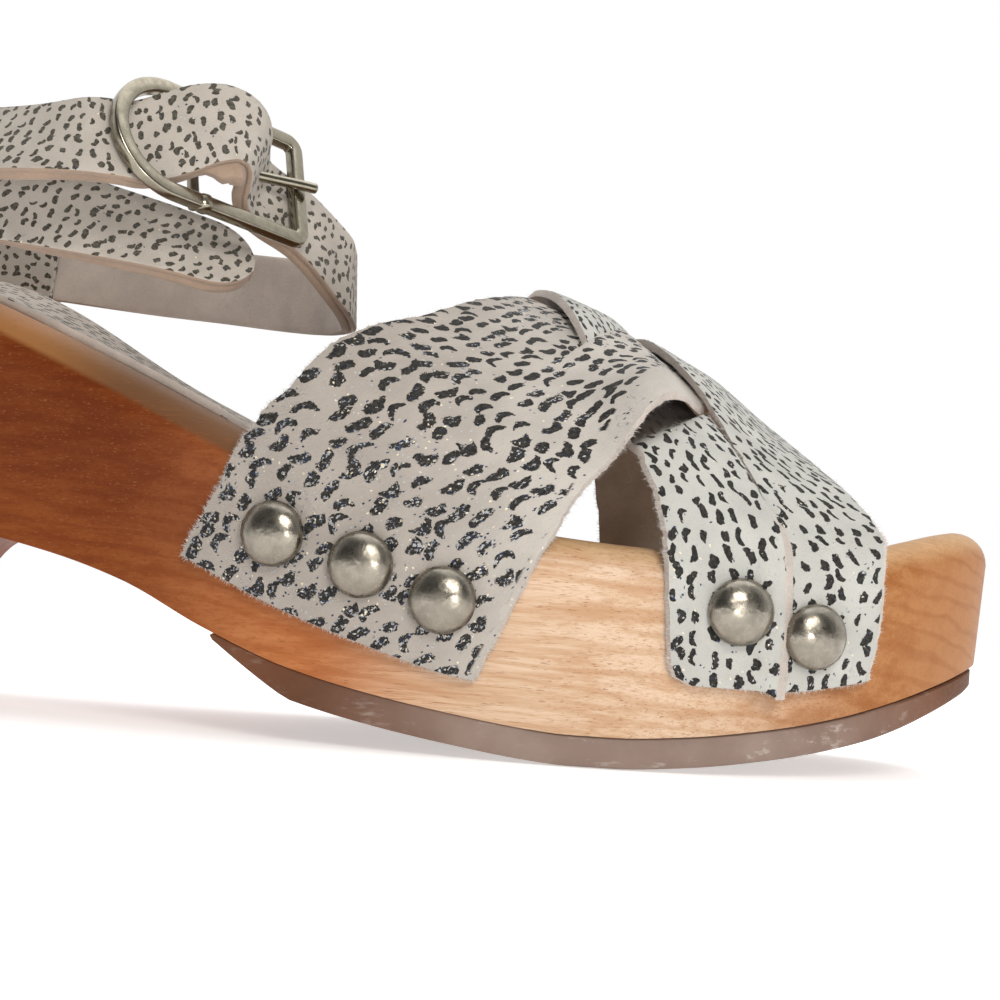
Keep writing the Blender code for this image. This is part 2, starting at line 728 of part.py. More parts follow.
def buckle(look):
    _, toeward, width, out = buckle_frame_axes()
    corner = FRAME_NOSE - FRAME_CORNER
    flat = [(corner, FRAME_HALF), (FRAME_NOSE, FRAME_HALF - FRAME_CORNER)]
    flat += [(FRAME_NOSE, FRAME_CORNER - FRAME_HALF), (corner, -FRAME_HALF)]
    for angle in np.linspace(0, math.pi, FRAME_BEND_STEPS + 1):
        bend = FRAME_BEND_CENTRE - FRAME_HALF * math.sin(angle)
        flat.append((bend, -FRAME_HALF * math.cos(angle)))
    path = [in_buckle(r, a, FRAME_OUT) for r, a in flat]
    frame = tube("buckle_frame", path, out, BAR, BAR_SIDES, True, look)
    heights = (FRAME_OUT, PIVOT_OUT, PIVOT_OUT, FRAME_OUT)
    path = [in_buckle(0, a * FRAME_HALF, o) for a, o in zip((-1, -1, 1, 1), heights)]
    bar = tube("pivot_bar", path, toeward, BAR, BAR_SIDES, False, look)
    combine(frame, bar, "UNION")
    path = [in_buckle(r, 0, o) for r, o in PRONG_PATH]
    tube("buckle_prong", path, width, PRONG, PRONG_SIDES, False, look)


def strap_loop(name, side, look):
    """A folded leather tab: a leg on the sole's side and a loop round the ankle strap."""
    middle = loop_place(side, LOOP_BACK)
    along = unit(loop_place(side, LOOP_BACK + 1) - middle)
    out = unit(np.cross(along, (0, 0, 1)))
    out = out * side * np.sign(out[1])
    up = unit(np.cross(along, out))
    up = up * np.sign(up[2])
    outer = LOOP_SLOT_HALF + LOOP_LEATHER
    top = LOOP_SLOT_HEIGHT + LOOP_LEATHER
    leg = LOOP_LEG_GAP - LOOP_OUT
    lean = WALL_DRAFT * (LOOP_FOOT + top)
    knee = -LOOP_SLOT_HEIGHT - LOOP_LEG - outer
    shape = (
        (outer, top - LOOP_LEATHER), (outer / 2, top), (-outer / 2, top), (-outer, top - LOOP_LEATHER),
        (-outer, -LOOP_SLOT_HEIGHT), (leg, -LOOP_SLOT_HEIGHT - LOOP_LEG), (leg + lean, LOOP_FOOT),
        (leg + lean + LOOP_LEG, LOOP_FOOT), (leg + LOOP_LEG, knee),
        (outer, -LOOP_SLOT_HEIGHT),
    )
    slot = [(o * LOOP_SLOT_HALF, h * LOOP_SLOT_HEIGHT) for o, h in SQUARE]
    made = []
    for label, flat, half in ((name, shape, LOOP_HALF), (name + "_slot", slot, LOOP_HALF * 2)):
        points = [tuple(middle + out * o + up * h + along * e) for e in (-half, half) for o, h in flat]
        size = len(flat)
        faces = [tuple(range(size)), tuple(range(size, 2 * size))]
        faces += [(k, (k + 1) % size, size + (k + 1) % size, size + k) for k in range(size)]
        made.append(solid(label, points, faces, look))
    combine(made[0], made[1], "DIFFERENCE")
    slope = lean / (LOOP_FOOT - knee)
    facing = unit(out - up * slope)
    face = leg + LOOP_LEG + slope * (LOOP_STUD - knee)
    return middle + out * face + up * LOOP_STUD + facing * GAP, facing


def build():
    for obj in list(bpy.data.objects):
        bpy.data.objects.remove(obj)
    wood = material("wood", (0.48, 0.24, 0.10), 0.0, 0.4)
    rubber = material("rubber", (0.20, 0.15, 0.12), 0.0, 0.7)
    suede = material("suede", (0.62, 0.52, 0.43), 0.0, 0.85)
    lining = material("sock_leather", (0.58, 0.50, 0.42), 0.0, 0.8)
    metal = material("stud_metal", (0.70, 0.62, 0.45), 1.0, 0.25)

    wooden_sole(wood)
    first, _ = tip_range(RUBBER_INSET)
    backs = np.union1d(stations(first, SKIVE_END_BACK, RUBBER_STATIONS), TREAD_FLAT)
    plate("outsole_forefoot", backs, RUBBER_INSET, rubber_top, rubber_tread, 2, rubber)
    _, last = tip_range(HEEL_LIFT_INSET)
    backs = stations(BREAST_FOOT_BACK + HEEL_LIFT_FRONT_GAP, last, HEEL_LIFT_STATIONS)
    plate("heel_lift", backs, HEEL_LIFT_INSET, lift_top, floor_height, 2, rubber)
    _, last = tip_range(SOCK_INSET)
    backs = stations(SOCK_FRONT_BACK, last, SOCK_STATIONS)
    plate("insole_sock", backs, SOCK_INSET, sock_top, sock_underside, SOCK_COLUMNS, lining)

    upper = crossed_strap("upper", STRAP_FROM_OUTER_REAR, WEAVE_LIFT, suede)
    under = crossed_strap("strap_from_outer_front", STRAP_FROM_OUTER_FRONT, 0.0, suede)
    combine(upper, under, "UNION")
    for name, side, back, depth in STUDS:
        side_stud(name, side, back, depth, metal)

    ankle_strap(suede)
    buckle(metal)
    for label, side in (("lateral", -1), ("medial", 1)):
        seat, out = strap_loop("strap_loop_" + label, side, suede)
        stud("stud_loop_" + label, seat, out, metal)


build()
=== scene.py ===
"""Looks of the wooden sole shoe: grained wood, woven spotted suede straps, pale gold nail heads and buckle.

The shape functions repeat the ones of the CAD source, so every piece lies where its CAD node is.
They work in millimetres, with "back" counted from the toe tip towards the heel, y positive towards
the inner side of the foot and z up from the floor. Meshes are made in metres in the shared frame.
"""

import math

import bmesh
import bpy
import numpy as np
from mathutils import Matrix, Vector


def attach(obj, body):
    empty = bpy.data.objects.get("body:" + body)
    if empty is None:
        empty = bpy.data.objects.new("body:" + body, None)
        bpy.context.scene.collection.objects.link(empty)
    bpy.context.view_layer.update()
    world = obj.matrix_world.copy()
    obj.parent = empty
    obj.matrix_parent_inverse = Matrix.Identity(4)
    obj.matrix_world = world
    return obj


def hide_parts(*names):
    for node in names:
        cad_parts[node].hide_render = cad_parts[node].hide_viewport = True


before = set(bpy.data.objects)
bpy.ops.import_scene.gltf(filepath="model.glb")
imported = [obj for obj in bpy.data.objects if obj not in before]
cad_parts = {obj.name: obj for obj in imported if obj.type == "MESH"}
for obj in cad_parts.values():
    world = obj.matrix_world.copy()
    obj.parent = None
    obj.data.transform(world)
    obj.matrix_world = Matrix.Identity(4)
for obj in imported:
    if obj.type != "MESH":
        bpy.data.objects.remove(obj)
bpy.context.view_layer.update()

MM = 0.001
SAME_POINT = 1e-7
LENGTH = 257.0
SIDE_SHIFT = 3.98
GAP = 0.3

# Carved sole, one row per section, as in the CAD source.
SECTION_COLUMNS = ("back", "lateral", "medial", "edge", "under", "hollow", "crown")
SECTIONS = (
    (0, -8, 8, 47.4, 22, 0, 2),
    (2, 2, 17, 47.4, 21.2, 0.2, 3),
    (6, 9.5, 23.5, 47, 19.5, 0.6, 4),
    (12, 17, 29.5, 45.7, 17.1, 1, 6),
    (20, 24.5, 34.3, 43.3, 14.2, 1.5, 9),
    (30, 30.8, 38.3, 40.3, 11.1, 1.8, 15),
    (42, 36, 41.3, 38.2, 8.4, 2, 23),
    (58, 41, 43.2, 38, 6.1, 2, 32),
    (70, 43.6, 43.6, 38.3, 5.3, 2, 38),
    (78, 44.81, 43.23, 38.73, 5.3, 2, 41.09),
    (84, 45.4, 42.7, 39.2, 5.7, 2, 43),
    (98, 46, 40.4, 40.9, 7.4, 2, 46.3),
    (112, 45.8, 37.5, 44.6, 9.6, 1.8, 49.3),
    (128, 44.4, 34.1, 49.7, 13.1, 1.5, 52.5),
    (144, 41.7, 31.2, 56.4, 18.8, 1.2, 55.5),
    (160, 38.4, 29.4, 63.6, 25.9, 1, 58),
    (176, 35.3, 28.6, 70.3, 30.3, 1.2, 60),
    (192, 32.9, 29, 76.7, 33, 1.6, 61),
    (208, 31.8, 30.1, 82.3, 34, 2.4, 62),
    (224, 31.2, 30.5, 86.5, 34, 3, 62),
    (240, 28.3, 26.9, 89.2, 34, 3, 62),
    (250, 21.5, 20, 90.2, 34, 2, 62),
    (255, 12, 11, 90.5, 34, 0.8, 62),
    (257, 0, 0, 90.5, 34, 0, 62),
)
TOP_ROUND = 6.0
WALL_DRAFT = 0.05
ARCH_RISE = 5.0
ARCH_RISE_BACK = 202.0
ARCH_RISE_HALF = 44.0
CREST_Y = 3.0
HEEL_SEAT_Z = 6.3
BREAST_TOP_BACK = 199.0
BREAST_FOOT_BACK = 213.5

SOLE_STATIONS = 150
BREAST_STEPS = 16
SOLE_WALL_STEPS = 10
SOLE_ROUND_STEPS = 8
FOOTBED_COLUMNS = 24

GLUE_LINE = 0.02
RUBBER = 5.0
RUBBER_AT_TOE = 3.4
TOE_TAPER_END = 26.0
RUBBER_INSET = 1.9
SKIVE_BACK = 127.0
SKIVE_END_BACK = 142.0
SKIVE_END = 0.7
HEEL_LIFT_INSET = 4.6
HEEL_LIFT_FRONT_GAP = 0.6
SOCK_FRONT_BACK = 145.0
SOCK = 1.2
SOCK_GAP = 0.6
# The sock's looks lie closer on the wood than the CAD sheet does.
SOCK_SEAT = 0.15
SOCK_INSET = 8.0

# Woven straps. "around" is 0 at the outer footbed edge and 1 at the inner one; one unit outside that
# range is WALL_UNIT down the side of the sole. One row per fold.
STRAP_GAP = 0.5
WALL_UNIT = 30.0
MOST_MITRE = 1.8
STRAP_COLUMNS = ("around_rear", "back_rear", "around_front", "back_front")
STRAP_A = (
    (-0.90, 148.0, -0.90, 94.5),
    (-0.50, 143.0, -0.50, 89.4),
    (0.00, 136.5, 0.00, 82.3),
    (0.065, 130.1, 0.06, 78.6),
    (0.13, 124.1, 0.11, 73.9),
    (0.18, 117.1, 0.16, 69.1),
    (0.23, 109.0, 0.23, 62.4),
    (0.31, 101.3, 0.30, 58.0),
    (0.39, 95.5, 0.40, 55.5),
    (0.54, 90.0, 0.54, 53.0),
    (0.70, 84.0, 0.70, 50.0),
    (0.86, 79.0, 0.88, 45.5),
    (1.00, 76.0, 1.00, 43.0),
    (1.45, 71.5, 1.45, 38.5),
    (1.78, 68.5, 1.78, 35.0),
)
STRAP_B = (
    (-0.76, 61.0, -0.78, 26.6),
    (-0.40, 61.9, -0.40, 24.9),
    (0.00, 63.2, -0.02, 24.9),
    (0.07, 65.0, 0.09, 26.8),
    (0.14, 69.0, 0.205, 31.0),
    (0.22, 74.5, 0.275, 35.2),
    (0.31, 81.0, 0.337, 39.5),
    (0.42, 87.0, 0.42, 46.0),
    (0.50, 92.0, 0.50, 54.0),
    (0.59, 98.0, 0.60, 61.0),
    (0.70, 107.0, 0.74, 69.5),
    (0.83, 120.0, 0.84, 78.0),
    (0.94, 135.0, 0.93, 86.0),
    (1.00, 143.0, 1.05, 92.5),
    (1.45, 151.0, 1.50, 98.5),
    (1.88, 156.0, 1.88, 103.0),
)
STRIP_THICK = 1.8
STRIP_LENGTH_STEPS = 130
STRIP_WIDTH_STEPS = 18
LAYER = 2.0
CUT_WANDER = 0.2


def smooth(xs, ys, x):
    """Monotone cubic through the rows of a table."""
    xs = np.asarray(xs, float)
    ys = np.asarray(ys, float)
    step = np.diff(xs)
    slope = np.diff(ys) / step
    tangent = np.zeros(len(xs))
    for i in range(1, len(xs) - 1):
        if slope[i - 1] * slope[i] > 0:
            near = 2 * step[i] + step[i - 1]
            far = step[i] + 2 * step[i - 1]
            tangent[i] = (near + far) / (near / slope[i - 1] + far / slope[i])
    tangent[0] = slope[0]
    tangent[-1] = slope[-1]
    x = np.clip(np.asarray(x, float), xs[0], xs[-1])
    i = np.clip(np.searchsorted(xs, x) - 1, 0, len(step) - 1)
    t = (x - xs[i]) / step[i]
    a = ys[i] * (1 + 2 * t) * (1 - t) ** 2 + ys[i + 1] * t * t * (3 - 2 * t)
    b = tangent[i] * t * (1 - t) ** 2 - tangent[i + 1] * t * t * (1 - t)
    return a + step[i] * b


def column(name):
    return [row[SECTION_COLUMNS.index(name)] for row in SECTIONS]


def turn(back):
    return np.arccos(np.clip(1 - 2 * np.asarray(back, float) / LENGTH, -1, 1))


def section(name, back):
    return smooth(column("back"), column(name), back)


def outline(name, back):
    return smooth(turn(column("back")), column(name), turn(back))


def outline_slope(name, back):
    return outline(name, back + 0.5) - outline(name, back - 0.5)


def fade(low, high, x):
    t = np.clip((np.asarray(x, float) - low) / (high - low), 0, 1)
    return t * t * (3 - 2 * t)


def edge_height(back, side):
    reach = np.clip((np.asarray(back, float) - ARCH_RISE_BACK) / ARCH_RISE_HALF, -1, 1)
    return section("edge", back) + ARCH_RISE * np.cos(reach * math.pi / 2) ** 2 * side


def under_height(back):
    back = np.asarray(back, float)
    reach = np.clip((back - BREAST_TOP_BACK) / (BREAST_FOOT_BACK - BREAST_TOP_BACK), 0, 1)
    breast = HEEL_SEAT_Z + (section("under", back) - HEEL_SEAT_Z) * np.sqrt(1 - reach**2)
    return np.where(back < BREAST_FOOT_BACK, breast, HEEL_SEAT_Z)


def foot_height(back, y):
    outer = outline("lateral", back) - TOP_ROUND
    inner = outline("medial", back) - TOP_ROUND
    across = np.clip((y + outer) / np.maximum(outer + inner, 1.0), 0, 1)
    hollow = section("hollow", back) * np.sin(math.pi * across)
    return edge_height(back, fade(0, 1, across)) - hollow


def to_frame(points):
    p = np.asarray(points, float)
    return np.stack([LENGTH / 2 - p[..., 0], p[..., 1] + SIDE_SHIFT, p[..., 2]], -1) * MM


def unit(v):
    v = np.asarray(v, float)
    return v / np.linalg.norm(v, axis=-1, keepdims=True)


def stations(first, last, count):
    return LENGTH / 2 * (1 - np.cos(np.linspace(turn(first), turn(last), count)))


def ring_of(backs):
    outer = np.stack([backs, -outline("lateral", backs)], 1)
    inner = np.stack([backs, outline("medial", backs)], 1)[1:-1][::-1]
    places = np.concatenate([outer, inner])
    side = np.concatenate([np.zeros(len(outer)), np.ones(len(inner))])
    along = unit(np.roll(places, -1, 0) - np.roll(places, 1, 0))
    return places, np.stack([-along[:, 1], along[:, 0]], 1), side


def last_point(back, around, out):
    """Places on the last, moved outwards: the sole's sides below, a rounded crown above."""
    back, around, out = np.broadcast_arrays(*(np.asarray(v, float) for v in (back, around, out)))
    reach = {}
    for name in ("lateral", "medial"):
        mitre = np.minimum(np.sqrt(1 + outline_slope(name, back) ** 2), MOST_MITRE)
        reach[name] = outline(name, back) + out * mitre
    down = WALL_UNIT * (np.maximum(-around, 0) + np.maximum(around - 1, 0))
    share = np.clip(around, 0, 1)
    half = np.where(share < 0.5, reach["lateral"] + CREST_Y, reach["medial"] - CREST_Y)
    y = CREST_Y - (half - WALL_DRAFT * down) * np.cos(math.pi * share)
    rise = (section("crown", back) + out) * np.sin(math.pi * share)
    return np.stack([back, y, edge_height(back, fade(0, 1, share)) + rise - down], -1)


def add_object(name, data):
    made = bpy.data.objects.new(name, data)
    bpy.context.scene.collection.objects.link(made)
    return made


def make_mesh(name, points, faces, uv=None, attributes=None):
    """A smooth mesh object from points in the working frame, with per-point UVs and float attributes."""
    mesh = bpy.data.meshes.new(name)
    mesh.from_pydata(to_frame(points).tolist(), [], [tuple(map(int, f)) for f in faces])
    corners = np.empty(len(mesh.loops), np.int32)
    mesh.loops.foreach_get("vertex_index", corners)
    if uv is not None:
        layer = mesh.uv_layers.new(name="print")
        layer.data.foreach_set("uv", np.asarray(uv, np.float32)[corners].ravel())
    for key, values in (attributes or {}).items():
        layer = mesh.attributes.new(key, "FLOAT", "POINT")
        layer.data.foreach_set("value", np.asarray(values, np.float32))
    mesh.polygons.foreach_set("use_smooth", np.full(len(mesh.polygons), True))
    return add_object(name, mesh)


def face_out(obj):
    shape = bmesh.new()
    shape.from_mesh(obj.data)
    bmesh.ops.remove_doubles(shape, verts=shape.verts, dist=SAME_POINT)
    bmesh.ops.recalc_face_normals(shape, faces=shape.faces)
    shape.to_mesh(obj.data)
    shape.free()


def grid_faces(rows, columns, start=0):
    i, j = np.meshgrid(np.arange(rows - 1), np.arange(columns - 1), indexing="ij")
    a = (start + i * columns + j).ravel()
    return np.stack([a, a + 1, a + columns + 1, a + columns], 1).tolist()


def ring_faces(rows, size, closed=False):
    """Faces between rings of points that follow one another."""
    faces = []
    for row in range(rows if closed else rows - 1):
        here = row * size
        there = (row + 1) % rows * size
        for k in range(size):
            n = (k + 1) % size
            faces.append((here + k, here + n, there + n, there + k))
    return faces


def end_faces(count, size):
    """The two faces that close a row of rings."""
    return [tuple(range(size)), tuple(range(count - size, count))]


def rim_of(rows, columns):
    rim = [i * columns for i in range(rows)]
    rim += [(rows - 1) * columns + j for j in range(1, columns)]
    rim += [i * columns + columns - 1 for i in range(rows - 2, -1, -1)]
    return rim + list(range(columns - 2, 0, -1))


def place(obj, slot, *nodes):
    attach(obj, "root")
    if nodes:
        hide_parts(*nodes)


def clean_faces(faces):
    """Faces without repeated corners."""
    kept = []
    for face in faces:
        ids = [i for n, i in enumerate(face) if i != face[n - 1]]
        if len(ids) > 2:
            kept.append(ids)
    return kept


def finished(obj, sharp_degrees, looks=None):
    """The mesh with its faces turned out, sharp edges set and a look chosen for each face."""
    if looks is not None:
        obj.data.polygons.foreach_set("material_index", np.array(looks, np.int32))
    face_out(obj)
    obj.data.set_sharp_from_angle(angle=math.radians(sharp_degrees))
    return obj


def wooden_sole():
    breast = np.linspace(BREAST_TOP_BACK, BREAST_FOOT_BACK, BREAST_STEPS)
    backs = np.union1d(stations(0, LENGTH, SOLE_STATIONS), np.append(breast, BREAST_FOOT_BACK + GAP))
    count = len(backs)
    places, inward, side = ring_of(backs)
    size = len(places)
    inner_backs = (places + inward * TOP_ROUND)[:, 0]
    top = edge_height(inner_backs, side)
    under = under_height(places[:, 0])
    rows = []
    for share in np.linspace(0, 1, SOLE_WALL_STEPS + 1):
        inset = WALL_DRAFT * (top - under) * (1 - share)
        rows.append((inset, under + (top - TOP_ROUND - under) * share, 0.0, 1.0 - share))
    for angle in np.linspace(0, math.pi / 2, SOLE_ROUND_STEPS + 1)[1:]:
        inset = np.full(size, TOP_ROUND * (1 - math.cos(angle)))
        rows.append((inset, top - TOP_ROUND * (1 - math.sin(angle)), math.sin(angle), 0.0))
    points = []
    rim = []
    foot = []
    for inset, height, bare, low in rows:
        at = places + inward * inset[:, None]
        points += np.column_stack([at, height]).tolist()
        rim += [bare] * size
        foot += [low] * size
    faces = ring_faces(len(rows), size)
    crest = (len(rows) - 1) * size
    lines = []
    for i in range(count):
        outer = crest + i
        inner = crest + (size - i) % size if i < count - 1 else crest + i
        line = [outer]
        for share in np.linspace(0, 1, FOOTBED_COLUMNS + 1)[1:-1]:
            if outer == inner:
                line.append(outer)
                continue
            b, y = (points[outer][n] * (1 - share) + points[inner][n] * share for n in (0, 1))
            line.append(len(points))
            points.append((b, y, float(foot_height(b, y))))
            rim.append(1.0)
            foot.append(0.0)
        lines.append(line + [inner])
    for here, there in zip(lines, lines[1:]):
        for j in range(FOOTBED_COLUMNS):
            faces.append((here[j], here[j + 1], there[j + 1], there[j]))
    for i in range(count - 1):
        after = (size - i - 1) % size if i + 1 < count - 1 else i + 1
        faces.append((i, i + 1, after, (size - i) % size))
    made = make_mesh("wood_sole", points, clean_faces(faces), attributes={"rim": rim, "foot": foot})
    return finished(made, 40)


def inset_sides(inset):
    backs = stations(0, LENGTH, 4 * SOLE_STATIONS)
    places, inward, _ = ring_of(backs)
    moved = places + inward * inset
    outer = moved[: len(backs)]
    inner = np.concatenate([moved[len(backs) - 1 :], moved[:1]])[::-1]
    return outer, inner


def slab(name, first, last, inset, top, bottom, mesh_steps):
    """A layer with the sole's outline moved inwards and softly rounded edges."""
    count, columns, softness = mesh_steps
    outer, inner = inset_sides(inset)
    first = outer[0, 0] if first is None else first
    last = outer[-1, 0] if last is None else last
    backs = stations(first, last, count)
    low = np.interp(backs, outer[:, 0], outer[:, 1])
    high = np.interp(backs, inner[:, 0], inner[:, 1])
    share = np.linspace(0, 1, columns)
    b = np.repeat(backs, columns)
    y = (low[:, None] * (1 - share) + high[:, None] * share).ravel()
    middle = np.array([backs.mean(), 0.0])
    pull = unit(middle - np.column_stack([b, y])) * softness
    rim = np.array(rim_of(count, columns))
    at_rim = np.zeros(len(b))
    at_rim[rim] = 1.0
    sheet_b = b + pull[:, 0] * at_rim
    sheet_y = y + pull[:, 1] * at_rim
    sheets = [np.column_stack([sheet_b, sheet_y, surface(sheet_b, sheet_y)]) for surface in (top, bottom)]
    sides = []
    for surface, sign in ((top, -1), (bottom, 1)):
        z = surface(b, y) + sign * softness
        sides.append(np.column_stack([b, y, z])[rim])
    points = np.concatenate(sheets + sides)
    size = len(b)
    faces = grid_faces(count, columns) + grid_faces(count, columns, size)
    ring = len(rim)
    upper = 2 * size
    lower = upper + ring
    for k in range(ring):
        n = (k + 1) % ring
        faces.append((rim[k], rim[n], upper + n, upper + k))
        faces.append((upper + k, upper + n, lower + n, lower + k))
        faces.append((lower + k, lower + n, size + rim[n], size + rim[k]))
    made = make_mesh(name, points, clean_faces(faces), uv=points[:, :2])
    return finished(made, 50)


def rubber_top(back, y):
    return under_height(back) - GLUE_LINE


def rubber_tread(back, y):
    share = np.clip((np.asarray(back, float) - SKIVE_BACK) / (SKIVE_END_BACK - SKIVE_BACK), 0, 1)
    thick = RUBBER_AT_TOE + (RUBBER - RUBBER_AT_TOE) * fade(0, TOE_TAPER_END, back)
    return under_height(back) - GAP - thick + (thick - SKIVE_END) * share


def lift_top(back, y):
    return np.full(len(back), HEEL_SEAT_Z - GLUE_LINE)


def floor_height(back, y):
    return np.zeros(len(back))


def sock_underside(back, y):
    return foot_height(back, y) + SOCK_SEAT


def sock_top(back, y):
    return foot_height(back, y) + SOCK_GAP + SOCK


def across(table, back, around):
    """Place across a strap: 0 at its rear edge and 1 at its front edge."""
    rear = smooth([r[0] for r in table], [r[1] for r in table], around)
    front = smooth([r[2] for r in table], [r[3] for r in table], around)
    return (rear - back) / (rear - front)


def wander(at, seed):
    """Small waves of a hand-cut edge."""
    waves = [math.sin(0.9 * seed + k) * np.sin(at * (0.9 + 0.83 * k) + seed * (k + 1.7)) for k in range(5)]
    return CUT_WANDER * sum(waves) / 2


# Where each strip of the weave lies on top: the strap it crosses, and the places across that strap
# where the strip has begun to rise, is up, is still up, and is down again; then its height in layers.
WEAVE = {
    "A_front": ("B", -0.30, 0.10, 0.30, 0.50, 1.0),
    "A_rear": ("B", 0.40, 0.62, 1.00, 1.35, 1.0),
    "B_rear": ("A", 0.66, 0.40, 0.02, -0.28, 1.6),
    "B_front": ("A", 1.30, 0.92, 0.62, 0.36, 1.3),
}
# The rear strap's front strip rises in an arch: its middle and half reach across the other strap, and
# the part of the strip's own width that takes part.
ARCH_LIFT = 6.0
ARCH_MIDDLE = 0.14
ARCH_HALF = 0.36
ARCH_SHARE = (0.62, 1.0)
# Below the arch the other strap sags, and its fold is painted dark, a painted shade where little light gets
# in.
SAG = 3.0
SAG_BEGIN = (0.5, 0.64)
SAG_END = (0.97, 1.05)
FOLD_END = (0.97, 1.01)
# The front strap's rear strip laps over its front one near the outer nails.
LAP_LIFT = 1.9
LAP_SHARE = (0.34, 0.5)
LAP_LIFT_END = (0.0, 0.14)
LAP = 0.035
LAP_END = (0.05, 0.16)
LAP_BEVEL = 1.7
LAP_BEND = 0.7
EDGE_DROP = 0.25
EDGE_BEVEL = {"A": 0.35, "B": 0.8}
CORNER_ROUND = 4.0
TAIL = 0.045
SLIT = 0.3
SLIT_EASE = 0.5


def strip_lift(label, back, around, share):
    crossed, low, up, still_up, down, layers = WEAVE[label]
    place_across = across(STRAP_B if crossed == "B" else STRAP_A, back, around)
    lift = LAYER * layers * fade(low, up, place_across) * (1 - fade(still_up, down, place_across))
    if label == "A_front":
        reach = np.clip((place_across - ARCH_MIDDLE) / ARCH_HALF, -1, 1)
        lift += ARCH_LIFT * np.cos(reach * math.pi / 2) ** 2 * fade(*ARCH_SHARE, share)
    if label == "B_rear":
        lift -= SAG * fade(*SAG_BEGIN, place_across) * (1 - fade(*SAG_END, place_across))
        lift += LAP_LIFT * fade(*LAP_SHARE, share) * (1 - fade(*LAP_LIFT_END, around))
    return lift


def strip_cuts(strip):
    """Columns of a strip's slit cut and of its outer edge, and the step from the outer edge inwards."""
    inner_cut = STRIP_WIDTH_STEPS if strip == 0 else 0
    return inner_cut, STRIP_WIDTH_STEPS - inner_cut, 1 if strip == 0 else -1


def strip_shares(strip, corner, along, width, open_slit, lap, seed):
    """Places across the strap of a strip's columns, row by row, with hand-cut edges."""
    shares = np.repeat(np.linspace(0, 1, STRIP_WIDTH_STEPS + 1)[None], len(along), 0)
    rest = np.clip(corner - along, 0, corner)
    trim = ((corner - np.sqrt(corner**2 - rest**2)) / width * 2)[:, None]
    shares = trim + (1 - trim) * shares
    inner_cut, outer_cut, towards = strip_cuts(strip)
    shares[:, inner_cut] -= towards * open_slit * (SLIT + wander(along, seed + strip)) / width * 2
    shares[:, outer_cut] += towards * wander(along, seed + 5 + strip) / width * 2
    shares[:, inner_cut] += 2 * LAP * lap
    shares[:, inner_cut - towards] += 2 * LAP * lap * LAP_BEND
    return (shares + strip) / 2


def strip_faces(start, rows, cuts):
    """Faces of a strip with a printed top and a raw underside and edges, and the look of each."""
    columns = STRIP_WIDTH_STEPS + 1
    size = rows * columns
    sheet = grid_faces(rows, columns, start)
    faces = sheet + grid_faces(rows, columns, start + size)
    for cut, is_open in cuts:
        for i in range(rows - 1):
            if is_open[i] + is_open[i + 1] > 0:
                a = start + i * columns + cut
                faces.append((a, a + columns, a + columns + size, a + size))
    for i in (0, rows - 1):
        for a in range(start + i * columns, start + i * columns + STRIP_WIDTH_STEPS):
            faces.append((a, a + 1, a + 1 + size, a + size))
    return faces, [0] * len(sheet) + [1] * (len(faces) - len(sheet))


